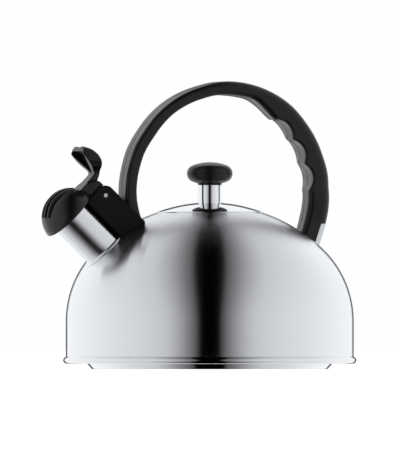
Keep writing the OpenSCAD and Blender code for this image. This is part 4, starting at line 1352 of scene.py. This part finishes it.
def make_floor():
    """A plain pale table top."""
    reach, drop = 25, 0.01 * MM
    data = bpy.data.meshes.new("floor")
    data.from_pydata([(-reach, -reach, -drop), (reach, -reach, -drop), (reach, reach, -drop),
                      (-reach, reach, -drop)], [], [(0, 1, 2, 3)])
    f = Finish("pale_floor", Base_Color=(0.8, 0.8, 0.8, 1), Roughness=0.9,
               Emission_Color=(1, 1, 1, 1), Emission_Strength=0.75)
    data.materials.append(f.material)
    floor = placed("floor", data)
    floor.visible_glossy = False
    floor.visible_diffuse = False


# The brightness of the surroundings from the front, where the dark gap is, round to the back.
AROUND_TONES = ((0.0, 0.0), (0.040, 0.0), (0.047, 0.09), (0.074, 0.21), (0.122, 0.46),
                (0.172, 0.66), (0.272, 0.76), (0.444, 0.88), (0.667, 1.0), (1.0, 1.0))
OVERHEAD = 0.96                # how far the dark gap bends over the top and under the floor
BACKDROP_EDGE = (0.27, 0.33)   # where the dark disc behind the kettle starts to fade, and ends
BACKDROP_SHADE = 0.9           # how dark that disc is
LIGHT_TINT = (0.985, 0.995, 1.01)


def make_surroundings():
    """Soft white surroundings with a dark gap in front and a dark disc behind."""
    s = bpy.context.scene.kettle_stage
    world = bpy.data.worlds.new("surroundings")
    world.use_nodes = True
    bpy.context.scene.world = world
    t = Tree(world.node_tree)
    x, y, z = t.parts(t.add("ShaderNodeTexCoord", {}, {}, "Generated"))
    side = x * cos(s.azimuth) + y * sin(s.azimuth)
    front = x * sin(s.azimuth) - y * cos(s.azimuth)
    turn = t.math("ARCTAN2", abs(side), front + OVERHEAD * abs(z)) / pi
    grey = t.add("ShaderNodeValToRGB", {"stops": AROUND_TONES}, {0: turn})
    level = t.parts(grey)[0]
    inner, outer = BACKDROP_EDGE
    edge = (1 - side.hypot(z).ramp(inner, outer)) * t.math("LESS_THAN", front, 0)
    level = level * (1 - BACKDROP_SHADE * edge) * s.light
    seen = t.add("ShaderNodeLightPath", {}, {}, "Is Camera Ray")
    level = level + seen * (1.0 - level)
    tint = t.vector(*(level * share_of_light for share_of_light in LIGHT_TINT))
    t.tree.links.new(tint.socket, t.tree.nodes["Background"].inputs["Color"])
    bpy.context.scene.view_settings.view_transform = "Standard"


# ---------- operators, panel and run ----------

class KETTLE_OT_stage(bpy.types.Operator):
    """Make the camera, the floor and the soft surroundings"""

    bl_idname = "kettle.stage"
    bl_label = "Stage"

    def execute(self, context):
        make_camera()
        make_floor()
        make_surroundings()
        return {"FINISHED"}


class KETTLE_OT_body(bpy.types.Operator):
    """Make the brushed dome"""

    bl_idname = "kettle.body"
    bl_label = "Body"

    def execute(self, context):
        make_body()
        return {"FINISHED"}


class KETTLE_OT_base(bpy.types.Operator):
    """Make the base pan with its bead and the foot"""

    bl_idname = "kettle.base"
    bl_label = "Base"

    def execute(self, context):
        make_base()
        return {"FINISHED"}


class KETTLE_OT_lid(bpy.types.Operator):
    """Make the lid, its collar, the ferrule and the knob"""

    bl_idname = "kettle.lid"
    bl_label = "Lid"

    def execute(self, context):
        make_lid()
        return {"FINISHED"}


class KETTLE_OT_spout(bpy.types.Operator):
    """Make the spout tube with its lip"""

    bl_idname = "kettle.spout"
    bl_label = "Spout"

    def execute(self, context):
        make_spout()
        return {"FINISHED"}


class KETTLE_OT_housing(bpy.types.Operator):
    """Make the plastic housing on the spout"""

    bl_idname = "kettle.housing"
    bl_label = "Housing"

    def execute(self, context):
        make_housing()
        return {"FINISHED"}


class KETTLE_OT_cap(bpy.types.Operator):
    """Make the slotted whistle cap"""

    bl_idname = "kettle.cap"
    bl_label = "Whistle cap"

    def execute(self, context):
        make_cap()
        return {"FINISHED"}


class KETTLE_OT_lever(bpy.types.Operator):
    """Make the thumb lever"""

    bl_idname = "kettle.lever"
    bl_label = "Lever"

    def execute(self, context):
        make_lever()
        return {"FINISHED"}


class KETTLE_OT_handle(bpy.types.Operator):
    """Make the two shells of the handle"""

    bl_idname = "kettle.handle"
    bl_label = "Handle"

    def execute(self, context):
        make_handle()
        return {"FINISHED"}


class KETTLE_OT_bracket(bpy.types.Operator):
    """Make the folded rear bracket"""

    bl_idname = "kettle.bracket"
    bl_label = "Rear bracket"

    def execute(self, context):
        make_rear_bracket()
        return {"FINISHED"}


class KETTLE_OT_fasteners(bpy.types.Operator):
    """Set all the screws in their places"""

    bl_idname = "kettle.fasteners"
    bl_label = "Fasteners"

    def execute(self, context):
        make_fasteners()
        return {"FINISHED"}


class KETTLE_OT_spring(bpy.types.Operator):
    """Wind the torsion spring"""

    bl_idname = "kettle.spring"
    bl_label = "Spring"

    def execute(self, context):
        make_spring()
        return {"FINISHED"}


class KETTLE_OT_inner(bpy.types.Operator):
    """Finish the small parts inside"""

    bl_idname = "kettle.inner"
    bl_label = "Inner parts"

    def execute(self, context):
        finish_inner_nodes()
        return {"FINISHED"}


OPERATORS = (KETTLE_OT_stage, KETTLE_OT_body, KETTLE_OT_base, KETTLE_OT_lid, KETTLE_OT_spout,
             KETTLE_OT_housing, KETTLE_OT_cap, KETTLE_OT_lever, KETTLE_OT_handle,
             KETTLE_OT_bracket, KETTLE_OT_fasteners, KETTLE_OT_spring, KETTLE_OT_inner)


class KETTLE_PT_panel(bpy.types.Panel):
    """Lists the kettle's sizes, finishes and pieces."""

    bl_idname = "KETTLE_PT_panel"
    bl_label = "Kettle"
    bl_space_type = "VIEW_3D"
    bl_region_type = "UI"
    bl_category = "Kettle"

    def draw(self, context):
        for made in OPERATORS:
            self.layout.operator(made.bl_idname)
        for group in GROUPS:
            box = self.layout.box()
            for name in GROUPS[group].__annotations__:
                box.prop(getattr(context.scene, group), name)


GROUPS = {"kettle_body": KettleBodySizes, "kettle_spout": KettleSpoutSizes,
          "kettle_handle": KettleHandleSizes, "kettle_finishes": KettleFinishes,
          "kettle_stage": KettleStage}


def register():
    for made in [*GROUPS.values(), *OPERATORS, KETTLE_PT_panel]:
        bpy.utils.register_class(made)
    for name, group in GROUPS.items():
        setattr(bpy.types.Scene, name, bpy.props.PointerProperty(type=group))


def unregister():
    for name in GROUPS:
        delattr(bpy.types.Scene, name)
    for made in [KETTLE_PT_panel, *OPERATORS[::-1], *list(GROUPS.values())[::-1]]:
        bpy.utils.unregister_class(made)


def main():
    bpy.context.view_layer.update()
    register()
    for made in OPERATORS:
        getattr(bpy.ops.kettle, made.bl_idname.split(".")[1])()


if __name__ == "__main__":
    main()
